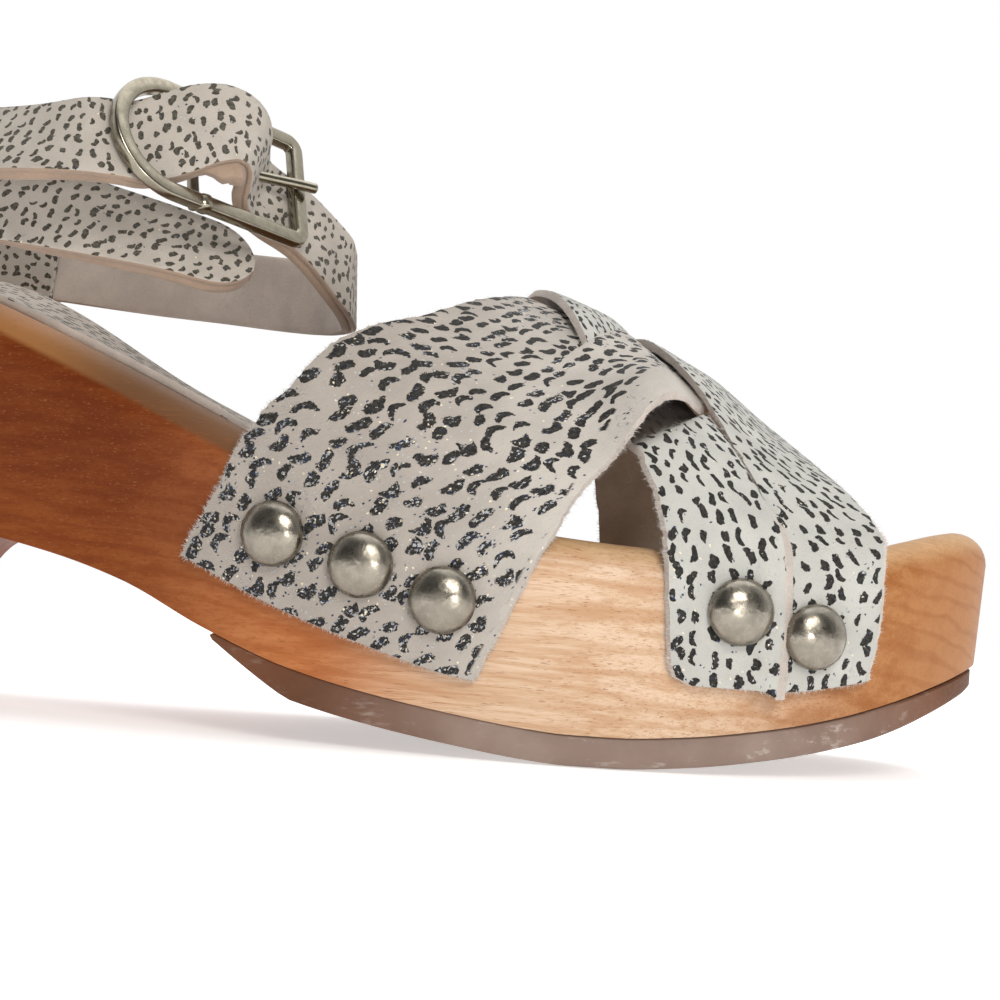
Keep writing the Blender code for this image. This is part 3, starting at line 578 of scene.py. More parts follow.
def woven_strap(letter, table, slit_from, slit_to, seed):
    """A strap that is slit lengthwise into a rear and a front strip over part of its length."""
    rows = np.arange(len(table))
    at = np.linspace(0, len(table) - 1, STRIP_LENGTH_STEPS)
    edges = [smooth(rows, [r[i] for r in table], at)[:, None] for i in range(len(STRAP_COLUMNS))]
    around_rear, back_rear, around_front, back_front = edges
    around_middle = (around_rear + around_front) / 2
    middle = last_point((back_rear + back_front) / 2, around_middle, STRAP_GAP)[:, 0]
    along = np.concatenate([[0], np.cumsum(np.linalg.norm(np.diff(middle, axis=0), axis=1))])
    rear_edge = last_point(back_rear, around_rear, STRAP_GAP)[:, 0]
    width = np.linalg.norm(rear_edge - last_point(back_front, around_front, STRAP_GAP)[:, 0], axis=1)
    open_slit = fade(slit_from, slit_from + SLIT_EASE, at) * (1 - fade(slit_to - SLIT_EASE, slit_to, at))
    whole = np.ones(len(at))
    points, uvs, front_edge, fold, faces, looks, cut_lines = [], [], [], [], [], [], []
    for strip, label in enumerate((letter + "_rear", letter + "_front")):
        on_top = label == "B_rear"
        lap = (1 - fade(*LAP_END, around_middle[:, 0])) * on_top
        inner_cut, outer_cut, towards = strip_cuts(strip)
        share = strip_shares(strip, CORNER_ROUND * on_top, along, width, open_slit, lap, seed)
        back = back_rear * (1 - share) + back_front * share
        around = around_rear * (1 - share) + around_front * share
        around[0, inner_cut] -= TAIL * on_top
        around[0, inner_cut - towards] -= TAIL / 2 * on_top
        lift = strip_lift(label, back, around, share)
        edge_drop = np.zeros_like(share)
        edge_drop[:, outer_cut] = EDGE_DROP
        edge_drop[:, inner_cut] = EDGE_DROP * open_slit
        top = last_point(back, around, STRAP_GAP + lift + STRIP_THICK - edge_drop)
        low = share.copy()
        low[:, outer_cut] -= towards * EDGE_BEVEL[letter] / width
        low[:, inner_cut] += LAP_BEVEL * lap / width
        low_back = back_rear * (1 - low) + back_front * low
        low_around = around + (around_front - around_rear) * (low - share)
        bottom = last_point(low_back, low_around, STRAP_GAP + lift)
        cuts = ((outer_cut, towards, whole), (inner_cut, -towards, open_slit))
        open_cuts = [(cut, is_open) for cut, _, is_open in cuts]
        made_faces, made_looks = strip_faces(len(points), len(at), open_cuts)
        faces += made_faces
        looks += made_looks
        points += top.reshape(-1, 3).tolist() + bottom.reshape(-1, 3).tolist()
        flat = np.stack([np.repeat(along[:, None], share.shape[1], 1), share * width[:, None]], -1)
        uvs += flat.reshape(-1, 2).tolist() * 2
        front_edge += ((1 - share) * width[:, None]).ravel().tolist() * 2
        # Share of painted shade in the fold below the arch.
        under_arch = across(STRAP_A, back, around)
        shaded = fade(*SAG_BEGIN, under_arch) * (1 - fade(*FOLD_END, under_arch)) * on_top
        fold += shaded.ravel().tolist() * 2
        for cut, inside, is_open in cuts:
            cut_lines.append((top[:, cut], bottom[:, cut], top[:, cut + inside], is_open))
        for end, inside in ((0, 1), (-1, -2)):
            cut_lines.append((top[end], bottom[end], top[inside], np.ones(share.shape[1])))
    made = make_mesh("strap_" + letter.lower(), points, faces, uv=uvs,
                     attributes={"front_edge": front_edge, "fold": fold})
    return finished(made, 55, looks), cut_lines


FIBRES_PER_MM = 11.0
FIBRE_LENGTH = (0.45, 1.5)
FIBRE_WIDTH = 0.11
FIBRE_LEAN = 0.45
FIBRE_ROOT = 0.15


def fuzz(name, cut_lines, seed):
    """Loose fibres along raw-cut edges, each one a slim triangle, joined in one mesh."""
    rng = np.random.default_rng(seed)
    points = []
    for top, bottom, inside, weight in cut_lines:
        length = np.linalg.norm(np.diff(top, axis=0), axis=1).sum()
        count = int(length * FIBRES_PER_MM)
        spot = rng.uniform(0, len(top) - 1.001, count)
        spot = spot[weight[spot.astype(int)] > 0.5]
        i = spot.astype(int)
        part = (spot - i)[:, None]
        depth = rng.uniform(0, 1, (len(i), 1))
        upper = top[i] * (1 - part) + top[i + 1] * part
        lower = bottom[i] * (1 - part) + bottom[i + 1] * part
        root = upper * (1 - depth) + lower * depth
        outward = unit(top[i] - inside[i])
        tangent = unit(top[i + 1] - top[i])
        rise = unit(top[i] - bottom[i])
        lean = rng.normal(0, FIBRE_LEAN, (len(i), 2))
        aim = unit(outward + tangent * lean[:, :1] + rise * lean[:, 1:])
        reach = rng.uniform(*FIBRE_LENGTH, (len(i), 1)) * rng.uniform(0.5, 1, (len(i), 1))
        side = tangent * FIBRE_WIDTH / 2
        root = root - outward * FIBRE_ROOT
        points.append(np.stack([root - side, root + side, root + aim * reach], 1).reshape(-1, 3))
    points = np.concatenate(points)
    faces = np.arange(len(points)).reshape(-1, 3).tolist()
    return make_mesh(name, points, faces)


ANKLE_WIDTH = 16.0
ANKLE = 2.4
ANKLE_TIP = 9.0
ANKLE_TIP_LEAST = 0.22
ANKLE_STEP = 1.2
BUCKLE_PLACE = (153.6, -36.7, 102.6)
BUCKLE_TOEWARD = (0.659, 0.744, -0.111)
BUCKLE_LEAN = 21.4
BAR = 1.3
FRAME_NOSE = 21.8
FRAME_HALF = 10.9
FRAME_BEND_CENTRE = -6.2
FRAME_CORNER = 2.0
FRAME_CLEARANCE = 0.6
FRAME_OUT = ANKLE / 2 + FRAME_CLEARANCE + BAR
PIVOT_OUT = 0.2
# Course of the overlap through the buckle, as distances from the pivot bar: towards the toe, up along
# the strap's width and outwards.
OVERLAP_RUN = (
    (25.0, -4.0, -0.2),
    (21.5, -2.9, -0.1),
    (17.0, -1.9, 0.1),
    (13.6, -0.9, 0.9),
    (11.4, 0.0, 3.4),
    (10.0, 0.8, 6.2),
    (8.0, 1.7, 8.8),
    (5.2, 2.5, 10.2),
    (1.8, 2.7, 10.1),
    (-2.0, 2.0, 8.3),
    (-5.5, 0.8, 5.0),
    (-9.0, -0.5, 1.8),
    (-12.2, -1.4, 0.0),
    (-15.0, -2.0, -0.2),
    (-18.5, -2.7, -0.2),
    (-21.5, -3.3, -0.3),
)

PRONG = 1.0
PRONG_PATH = ((1.9, 0.6), (8.0, 2.2), (15.0, 4.0), (21.8, 5.8), (24.2, 6.3))
LOOP_BACK = 212.0
LOOP_Z = 96.2
LOOP_RISE = 1.0 / 12.0
LOOP_OUT = 3.1
LOOP_STRAP_ROWS = (200.0, 206.0, 212.0, 218.0, 224.0)
# Middle line of the ankle strap: back, y, z, lean inwards in degrees.
HEEL_RUN = (
    (240.0, -25.5, 100.0, 0.0),
    (249.5, -11.0, 102.0, 0.0),
    (249.5, 11.0, 102.0, 0.0),
    (240.0, 25.0, 100.0, 0.0),
)
FRONT_RUN = (
    (182.0, 34.0, 93.8, 8.0),
    (160.0, 31.0, 92.0, 9.0),
    (146.0, 25.0, 90.2, 8.0),
    (135.6, 15.0, 88.6, 6.0),
    (130.0, 3.5, 88.0, 4.0),
    (129.4, -5.5, 88.8, 5.0),
    (131.8, -12.8, 91.8, 11.0),
)
FREE_RUN = (
    (176.0, -52.2, 101.0, 32.0),
    (187.0, -50.0, 100.6, 32.0),
    (199.0, -46.0, 100.2, 28.0),
)
UNDERLAP_RUN = (
    (142.8, -28.0, 85.2, 34.0),
    (151.8, -32.0, 87.2, 33.0),
    (158.1, -34.5, 88.4, 31.0),
    (165.6, -36.3, 89.7, 26.0),
    (173.0, -37.5, 91.0, 20.0),
    (185.0, -38.0, 93.0, 10.0),
)
# Half section of the two-ply strap's edge: distance in from the edge, height from the middle.
PLY_EDGE = ((0.5, 1.2), (0.12, 1.08), (0.0, 0.75), (0.02, 0.2), (0.3, 0.05))
PLY_EDGE_LOW = ((0.3, -0.05), (0.06, -0.2), (0.0, -0.8), (0.12, -1.08), (0.5, -1.2))
PLY_FACE_INSET = PLY_EDGE[0][0]
PLY_FACE_STEPS = 12
TIP_STEPS = 12
WIDTH_EASING = 25
# The bend behind the buckle is eased this often, from this many rows before the free end's table.
BEND_EASING = 30
EASED_FROM = 4
# The inner ply is thicker where nothing lies close inside it.
PLY_EXTRA = 0.7
PLY_EXTRA_BACK = (176.0, 194.0)
# Over the buckle's pivot bar the inner ply is thicker still and hangs out below the printed one.
HUMP_RISE = (5.5, 8.5)
HUMP_PLY_EXTRA = 0.7
HUMP_PLY_HANG = 2.6


def strap_frame(heading, lean):
    heading = unit(heading)
    inward = unit((-heading[1], heading[0], 0))
    width = math.cos(lean) * np.array((0, 0, 1.0)) + math.sin(lean) * inward
    width = unit(width - heading * (width @ heading))
    return width, -unit(inward - heading * (inward @ heading) - width * (inward @ width))


def buckle_axes():
    forward, y, z = BUCKLE_TOEWARD
    toeward = unit((-forward, y, z))
    width, out = strap_frame(-toeward, math.radians(BUCKLE_LEAN))
    return toeward, width, out


def in_buckle(run, across_strap, outward):
    toeward, width, out = buckle_axes()
    return np.array(BUCKLE_PLACE) + toeward * run + width * across_strap + out * outward


def loop_place(side, back):
    name = "lateral" if side < 0 else "medial"
    reach = outline(name, LOOP_BACK) + LOOP_OUT + outline_slope(name, LOOP_BACK) * (back - LOOP_BACK)
    return np.array((back, side * float(reach), LOOP_Z + (back - LOOP_BACK) * LOOP_RISE))


def ankle_rows():
    """Middle line and lean of the ankle strap from its underlap tip round the heel to its free end.

    The last three values of a row are the same place without the hump over the buckle's pivot bar.
    """
    rows = list(UNDERLAP_RUN)
    for back in LOOP_STRAP_ROWS:
        rows.append((*loop_place(-1, back), 0.0))
    rows += HEEL_RUN
    for back in LOOP_STRAP_ROWS[::-1]:
        rows.append((*loop_place(1, back), 0.0))
    rows += FRONT_RUN
    flat = [row[:3] for row in rows]
    for run, aside, rise in OVERLAP_RUN:
        rows.append((*in_buckle(run, aside, rise), BUCKLE_LEAN))
        flat.append(in_buckle(run, aside, 0.0))
    rows += FREE_RUN
    flat += [row[:3] for row in FREE_RUN]
    return np.column_stack([np.array(rows), np.array(flat)])


def strap_width(heading, flat_heading, lean):
    """Width direction where the strap may stand up from its flat course."""
    heading = unit(heading)
    width, _ = strap_frame(flat_heading, lean)
    return unit(width - heading * (width @ heading))


def eased(line, rounds):
    """The rows of a line, averaged with their neighbours."""
    line = line.copy()
    for _ in range(rounds):
        line[1:-1] = (line[:-2] + 2 * line[1:-1] + line[2:]) / 4
    return line


def ankle_strap():
    rows = ankle_rows()
    length = np.concatenate([[0], np.cumsum(np.linalg.norm(np.diff(rows[:, :3], axis=0), axis=1))])
    total = length[-1]
    tip = ANKLE_TIP * np.linspace(0, 1, TIP_STEPS) ** 2
    at = np.concatenate([tip, np.arange(ANKLE_TIP, total - ANKLE_TIP, ANKLE_STEP)[1:], total - tip[::-1]])
    line = np.stack([smooth(length, values, at) for values in rows.T], 1)
    behind = len(FREE_RUN) + EASED_FROM
    share = fade(length[-behind], length[-behind + 2], at)
    share *= 1 - fade(total - 2 * ANKLE_TIP, total - ANKLE_TIP, at)
    line += (eased(line, BEND_EASING) - line) * share[:, None]
    heading = np.gradient(line[:, :3], at, axis=0)
    flat_heading = np.gradient(line[:, 4:], at, axis=0)
    leans = np.radians(line[:, 3])
    widths = np.array([strap_width(h, f, lean) for h, f, lean in zip(heading, flat_heading, leans)])
    widths = eased(widths, WIDTH_EASING)
    faces_across = np.linspace(-1, 1, PLY_FACE_STEPS + 1)[1:-1]
    points, uvs = [], []
    for i, where in enumerate(at):
        end = float(np.clip(min(where, total - where) / ANKLE_TIP, 0, 1))
        half = ANKLE_WIDTH / 2 * max(math.sqrt(1 - (1 - end) ** 2), ANKLE_TIP_LEAST)
        ahead = unit(heading[i])
        width = unit(widths[i] - ahead * (widths[i] @ ahead))
        out = np.cross(ahead, width)
        thicker = 1 + PLY_EXTRA * (1 - float(fade(*PLY_EXTRA_BACK, line[i, 0])))
        hump = float(fade(*HUMP_RISE, np.linalg.norm(line[i, :3] - line[i, 4:])))
        thicker += HUMP_PLY_EXTRA * hump
        ply_edge = PLY_EDGE + tuple((d, o * thicker) for d, o in PLY_EDGE_LOW)
        hang = [0.0] * len(PLY_EDGE) + [HUMP_PLY_HANG * hump] * len(PLY_EDGE_LOW)
        face_half = half - PLY_FACE_INSET
        ring = [(a * face_half, ANKLE / 2) for a in faces_across]
        ring += [(half - d, o) for d, o in ply_edge]
        ring += [(-a * face_half, -ANKLE / 2 * thicker) for a in faces_across]
        ring += [(d - half - h, o) for (d, o), h in list(zip(ply_edge, hang))[::-1]]
        for a, o in ring:
            points.append(line[i, :3] + width * a + out * o)
            uvs.append((where, a))
    size = len(ring)
    face = len(faces_across)
    edge = len(PLY_EDGE) + len(PLY_EDGE_LOW)
    faces = end_faces(len(points), size) + ring_faces(len(at), size)
    ring_looks = []
    for k in range(size):
        on_print = k < face + 1 or k >= size - 2
        on_lining = face + edge - 2 <= k <= 2 * face + edge
        ring_looks.append(0 if on_print else 2 if on_lining else 1)
    made = make_mesh("ankle_strap_plies", points, faces, uv=uvs)
    return finished(made, 60, [1, 1] + ring_looks * (len(at) - 1))


def swept(name, path, reference, section_points, closed):
    """A bar along a path. section_points are offsets sideways and along the reference, or a list of such."""
    path = np.asarray(path, float)
    count = len(path)
    points = []
    for i in range(count):
        before = path[i - 1] if closed or i else path[0]
        after = path[(i + 1) % count] if closed or i < count - 1 else path[-1]
        ahead = unit(after - before)
        sideways = unit(np.cross(ahead, reference))
        upright = np.cross(sideways, ahead)
        shape = section_points[i] if isinstance(section_points, list) else section_points
        points += [path[i] + sideways * a + upright * b for a, b in shape]
    size = len(points) // count
    faces = ring_faces(count, size, closed)
    if not closed:
        faces += end_faces(len(points), size)
    made = make_mesh(name, points, faces)
    return finished(made, 50)


def oval(half_wide, half_high, power, count):
    """Points of a rounded-off rectangle."""
    angle = np.linspace(0, 2 * math.pi, count, endpoint=False)
    a = half_wide * np.sign(np.cos(angle)) * np.abs(np.cos(angle)) ** (2 / power)
    b = half_high * np.sign(np.sin(angle)) * np.abs(np.sin(angle)) ** (2 / power)
    return np.stack([a, b], 1)


def circle(radius, count):
    return oval(radius, radius, 2, count)


BAND_HALF = 1.45
BAND_HALF_DEEP = 1.15
BAND_POWER = 5.0
CORNER_STEPS = 9
BEND_STEPS = 41
PIVOT = 1.1
PIVOT_BEND = 0.92
KNOB = 1.75
KNOB_HALF = 1.5
KNOB_WAIST = 0.55
KNOB_STEPS = 9
PRONG_STEPS = 40
PRONG_TIP = 0.25
PRONG_TIP_FADE = 0.27
PRONG_TIP_LEAST = 0.02


def buckle():
    toeward, width, out = buckle_axes()
    corner = FRAME_NOSE - FRAME_CORNER
    inner = FRAME_HALF - FRAME_CORNER
    flat = []
    for end, first, last in ((inner, 0, math.pi / 2), (-inner, math.pi / 2, math.pi)):
        for angle in np.linspace(first, last, CORNER_STEPS):
            flat.append((corner + FRAME_CORNER * math.sin(angle), end + FRAME_CORNER * math.cos(angle)))
    for angle in np.linspace(0, math.pi, BEND_STEPS):
        flat.append((FRAME_BEND_CENTRE - FRAME_HALF * math.sin(angle), -FRAME_HALF * math.cos(angle)))
    path = [in_buckle(r, a, FRAME_OUT) for r, a in flat]
    band = swept("buckle_band", path, out, oval(BAND_HALF, BAND_HALF_DEEP, BAND_POWER, 28), True)
    heights = (FRAME_OUT, PIVOT_OUT, PIVOT_OUT, FRAME_OUT)
    path = [in_buckle(0, a * FRAME_HALF, o) for a, o in zip((-1.0, -PIVOT_BEND, PIVOT_BEND, 1.0), heights)]
    pivot = swept("buckle_pivot", path, toeward, circle(PIVOT, 16), False)
    knobs = []
    for end in (-1, 1):
        along = np.linspace(-1, 1, KNOB_STEPS)
        path = [in_buckle(0, end * FRAME_HALF + s * KNOB_HALF, FRAME_OUT) for s in along]
        shapes = [circle(r, 18) for r in KNOB * np.sqrt(1 - KNOB_WAIST * along**4)]
        knobs.append(swept("buckle_knob_" + ("low" if end < 0 else "high"), path, out, shapes, False))
    run = np.linspace(0, len(PRONG_PATH) - 1, PRONG_STEPS)
    rows = np.arange(len(PRONG_PATH))
    runs = smooth(rows, [p[0] for p in PRONG_PATH], run)
    rises = smooth(rows, [p[1] for p in PRONG_PATH], run)
    past = np.clip(run - run[-1] + PRONG_TIP, 0, None) / PRONG_TIP_FADE
    tip = np.sqrt(np.clip(1 - past**2, PRONG_TIP_LEAST, 1))
    path = [in_buckle(r, 0, o) for r, o in zip(runs, rises)]
    prong = swept("buckle_prong_bar", path, width, [circle(PRONG * t, 16) for t in tip], False)
    return band, pivot, knobs, prong


STUD_RIM = 0.5
# Share of the radius and of the rim's height, from the base up.
RIM_PROFILE = ((0.93, 0.0), (0.985, 0.2), (1.0, 0.6))
DOME_POWERS = (0.92, 1.12)
SAME_WAY = 0.999
DOME_TURNS = 56
DOME_RINGS = 18


def nail_head(node):
    """A smooth dome in place of a faceted CAD one, found from the flat base of that node."""
    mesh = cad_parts[node].data
    mesh.calc_loop_triangles()
    areas = np.array([t.area for t in mesh.loop_triangles])
    normals = np.array([tuple(t.normal) for t in mesh.loop_triangles])
    alike = (normals @ normals.T > SAME_WAY) @ areas
    base_normal = normals[np.argmax(alike)]
    base = (normals @ base_normal) > SAME_WAY
    used = np.unique([list(t.vertices) for t, b in zip(mesh.loop_triangles, base) if b])
    corners = np.array([tuple(v.co) for v in mesh.vertices])
    seat = corners[used].mean(0)
    facing = -base_normal
    radius = np.linalg.norm(corners[used] - seat, axis=1).max()
    height = ((corners - seat) @ facing).max()
    side = unit(np.cross(facing, (0, 0, 1)))
    up = np.cross(side, facing)
    rim = STUD_RIM * MM
    profile = [(share, rise * rim) for share, rise in RIM_PROFILE]
    narrowing, rising = DOME_POWERS
    for angle in np.linspace(0, math.pi / 2, DOME_RINGS)[1:-1]:
        profile.append((math.cos(angle) ** narrowing, rim + (height - rim) * math.sin(angle) ** rising))
    around = np.linspace(0, 2 * math.pi, DOME_TURNS, endpoint=False)
    ring = np.cos(around)[:, None] * side + np.sin(around)[:, None] * up
    points = [seat + ring * radius * share + facing * rise for share, rise in profile]
    points = np.concatenate(points + [[seat, seat + facing * height]])
    faces = ring_faces(len(profile), DOME_TURNS)
    last = (len(profile) - 1) * DOME_TURNS
    for k in range(DOME_TURNS):
        n = (k + 1) % DOME_TURNS
        faces.append((last + k, last + n, len(points) - 1))
        faces.append((n, k, len(points) - 2))
    mesh = bpy.data.meshes.new("dome_" + node)
    mesh.from_pydata(points.tolist(), [], faces)
    mesh.polygons.foreach_set("use_smooth", np.full(len(mesh.polygons), True))
    made = add_object("dome_" + node, mesh)
    face_out(made)
    return made


TAB_SOFT = 0.45
TAB_SOFT_FROM = 25
FACING = 0.7


def soft_tab(node):
    """A CAD leather tab with softened edges and a flat layout for its print."""
    made = add_object("tab_" + node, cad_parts[node].data.copy())
    made.data.materials.clear()
    face_out(made)
    layer = made.data.uv_layers.get("print") or made.data.uv_layers.new(name="print")
    made.data.uv_layers.active = layer
    for polygon in made.data.polygons:
        for corner in polygon.loop_indices:
            at = made.data.vertices[made.data.loops[corner].vertex_index].co / MM
            across_tab = at.y if abs(polygon.normal.x) > FACING else at.x
            down_tab = at.y if abs(polygon.normal.z) > FACING else at.z
            layer.data[corner].uv = (down_tab, across_tab)
    bevel = made.modifiers.new("soft edges", "BEVEL")
    bevel.width = TAB_SOFT * MM
    bevel.segments = 3
    bevel.limit_method = "ANGLE"
    bevel.angle_limit = math.radians(TAB_SOFT_FROM)
    return made


class Shader:
    """A material's node tree, with short ways to add nodes."""

    def __init__(self, name):
        self.material = bpy.data.materials.new(name)
        self.material.use_nodes = True
        self.tree = self.material.node_tree
        self.surface = self.tree.nodes["Principled BSDF"]

    def feed(self, socket, value):
        if isinstance(value, bpy.types.NodeSocket):
            self.tree.links.new(value, socket)
        elif socket.type == "RGBA":
            socket.default_value = (*value, 1.0)
        else:
            socket.default_value = value

    def add(self, kind, settings, values):
        made = self.tree.nodes.new("ShaderNode" + kind)
        for key, value in settings.items():
            setattr(made, key, value)
        for key, value in values.items():
            self.feed(made.inputs[key], value)
        return made

    def math(self, operation, *values):
        return self.add("Math", {"operation": operation}, dict(enumerate(values))).outputs[0]

    def times(self, first, *others):
        return self.math("MULTIPLY", first, self.times(*others)) if others else first

    def plus(self, a, b):
        return self.math("ADD", a, b)

    def minus(self, a, b):
        return self.math("SUBTRACT", a, b)

    def vector(self, operation, *values):
        return self.add("VectorMath", {"operation": operation}, dict(enumerate(values))).outputs[0]

    def split(self, vector):
        return self.add("SeparateXYZ", {}, {0: vector}).outputs

    def join(self, x, y, z):
        return self.add("CombineXYZ", {}, {0: x, 1: y, 2: z}).outputs[0]

    def noise(self, vector, scale, detail=2.0, roughness=0.5):
        values = {"Vector": vector, "Scale": scale, "Detail": detail, "Roughness": roughness}
        return self.add("TexNoise", {"noise_dimensions": "3D"}, values).outputs

    def cells(self, vector, scale, randomness):
        values = {"Vector": vector, "Scale": scale, "Randomness": randomness}
        return self.add("TexVoronoi", {"voronoi_dimensions": "2D"}, values).outputs

    def ramp(self, value, low, high, to_low=0.0, to_high=1.0):
        values = {0: value, 1: low, 2: high, 3: to_low, 4: to_high}
        return self.add("MapRange", {"interpolation_type": "SMOOTHSTEP"}, values).outputs[0]

    def mix(self, share, a, b, blend="MIX"):
        made = self.add("Mix", {"data_type": "RGBA", "blend_type": blend}, {0: share, 6: a, 7: b})
        return made.outputs[2]

    def multiply(self, share, a, b):
        return self.mix(share, a, b, "MULTIPLY")

    def bump(self, height, distance, strength):
        values = {"Height": height, "Distance": distance * MM, "Strength": strength}
        return self.add("Bump", {}, values).outputs[0]

    def flat_mm(self):
        return self.add("UVMap", {"uv_map": "print"}, {}).outputs[0]

    def frame_mm(self):
        place_in = self.add("TexCoord", {}, {}).outputs["Object"]
        return self.scaled(place_in, 1 / MM)

    def scaled(self, vector, factor):
        made = self.add("VectorMath", {"operation": "SCALE"}, {0: vector})
        made.inputs["Scale"].default_value = factor
        return made.outputs[0]

    def attribute(self, name):
        return self.add("Attribute", {"attribute_name": name}, {}).outputs["Fac"]

    def finish(self, **values):
        for key, value in values.items():
            self.feed(self.surface.inputs[key.replace("_", " ")], value)
        return self.material


def shade(tint, level):
    return [min(1.0, part * level) for part in tint]


# Stretches of x over which the wood gets another tint: into the waist, further back and to the toe. Each tint
# is partly the wood's own deeper tone and partly painted shade, darker away from the brightly lit ball.
WAIST = (42.0, 4.0)
WOOD_TONE_AND_SHADE_ZONES = (
    (WAIST, (0.52, 0.24, 0.12)),
    ((4.0, -36.0), (0.47, 0.315, 0.145)),
    ((66.0, 108.0), (0.60, 0.36, 0.18)),
)
WOOD_LIGHT = (0.63, 0.465, 0.335)
WOOD_DEEP = (0.42, 0.225, 0.105)
WOOD_PORE = (0.24, 0.09, 0.035)
WOOD_VEIN = (0.55, 0.42, 0.34)
# Factor at the foot of the waist's side, a painted light that brightens its lower part; colours of the
# rounded rim, a painted light paler where the rim turns up to the light; and of its darker stretch at the
# waist, partly the wood's deeper tone and partly painted shade.
WOOD_FOOT_PAINTED_LIGHT = (1.42, 1.6, 1.6)
WOOD_RIM_PAINTED_LIGHT = ((0.62, 0.40, 0.20), (0.47, 0.28, 0.125))
WOOD_BAND = ((0.135, 0.064, 0.03), (0.30, 0.135, 0.047))
BAND_PALER = (-30.0, -56.0)
# The grain is weaker at the toe.
PLAIN_TOE = (122.0, 100.0)
# The growth rings' middle line in y and z, its slope along x, the rings' waves and phase per millimetre.
RING_Y = -25.0
RING_Z = -70.0
RING_RISE = 0.10
RING_WAVES = 16.0
RING_TURN = 1.6


def wood():
    sh = Shader("wood")
    x, y, z = sh.split(sh.frame_mm())

    def grain(stretch, scale, detail, roughness):
        """Noise drawn out along the sole."""
        return sh.noise(sh.join(sh.times(x, stretch), y, z), scale, detail, roughness)[0]

    slow_at = sh.join(sh.times(x, 0.012), sh.times(y, 0.03), sh.times(z, 0.05))
    slow = sh.noise(slow_at, 1.0, 3.0)[0]
    ring_y = sh.plus(y, -RING_Y)
    ring_z = sh.plus(sh.plus(z, -RING_Z), sh.times(x, RING_RISE))
    radius = sh.math("SQRT", sh.plus(sh.times(ring_y, ring_y), sh.times(ring_z, ring_z)))
    radius = sh.plus(radius, sh.times(slow, RING_WAVES))
    rings = sh.ramp(sh.math("SINE", sh.times(radius, RING_TURN)), 0.35, 1.0)
    fibre = grain(0.012, 2.6, 4.0, 0.7)
    fine = grain(0.014, 6.5, 2.0, 0.6)
    streak = grain(0.015, 0.42, 3.0, 0.6)
    pores = grain(0.045, 4.2, 2.0, 0.6)
    veins = grain(0.009, 2.8, 3.0, 0.6)
    plain = sh.ramp(x, *PLAIN_TOE, 0.3, 1.0)
    body = sh.mix(sh.times(sh.ramp(streak, 0.38, 0.68), plain, 0.62), WOOD_LIGHT, WOOD_DEEP)
    body = sh.mix(sh.times(sh.ramp(fibre, 0.46, 0.66), plain, 0.5), body, WOOD_DEEP)
    body = sh.mix(sh.times(sh.ramp(fine, 0.52, 0.72), plain, 0.35), body, WOOD_DEEP)
    body = sh.mix(sh.times(rings, 0.38), body, WOOD_DEEP)
    # Tints partly of the wood's own tone and partly painted shade away from the lit ball.
    for stretch, tint in WOOD_TONE_AND_SHADE_ZONES:
        body = sh.multiply(sh.ramp(x, *stretch), body, tint)
    waist = sh.ramp(x, *WAIST)
    # Painted light: the lower part of the waist's side is brightened.
    low = sh.times(sh.ramp(sh.attribute("foot"), 0.35, 1.0), waist)
    body = sh.multiply(low, body, WOOD_FOOT_PAINTED_LIGHT)
    bare = sh.attribute("rim")
    # Painted light: the rounded rim is paler where it faces up to the light.
    rim = sh.mix(sh.ramp(fibre, 0.4, 0.7), *WOOD_RIM_PAINTED_LIGHT)
    body = sh.mix(sh.times(sh.ramp(bare, 0.25, 0.85), 0.6), body, rim)
    # The rim's lower part is darker at the waist, partly the wood's deeper tone and partly painted shade.
    band = sh.mix(sh.ramp(x, *BAND_PALER), *WOOD_BAND)
    body = sh.mix(sh.times(sh.ramp(bare, 0.05, 0.32), waist, 0.92), body, band)
    body = sh.mix(sh.times(sh.ramp(pores, 0.63, 0.67), plain, 0.6), body, WOOD_PORE)
    body = sh.multiply(sh.times(sh.ramp(veins, 0.66, 0.70), plain, 0.5), body, WOOD_VEIN)
    rough = sh.ramp(fibre, 0.2, 0.8, 0.34, 0.5)
    normal = sh.bump(sh.plus(fibre, sh.times(fine, 0.5)), 0.06, 0.4)
    return sh.finish(Base_Color=body, Roughness=rough, Normal=normal, Coat_Weight=0.03, Coat_Roughness=0.3,
                     Specular_IOR_Level=0.13)


# Each pair is mixed by a slow cloud. The grey stretch of the rubber, paler as painted light where the lamp
# falls on the ball, lies between these values of x.
RUBBER_BROWN = ((0.15, 0.06, 0.03), (0.11, 0.045, 0.022))
RUBBER_GREY = ((0.29, 0.22, 0.185), (0.23, 0.165, 0.135))
RUBBER_SCUFF = (0.56, 0.50, 0.46)
PAINTED_LIGHT_FROM = (0.0, 45.0)
PAINTED_LIGHT_TO = (122.0, 85.0)


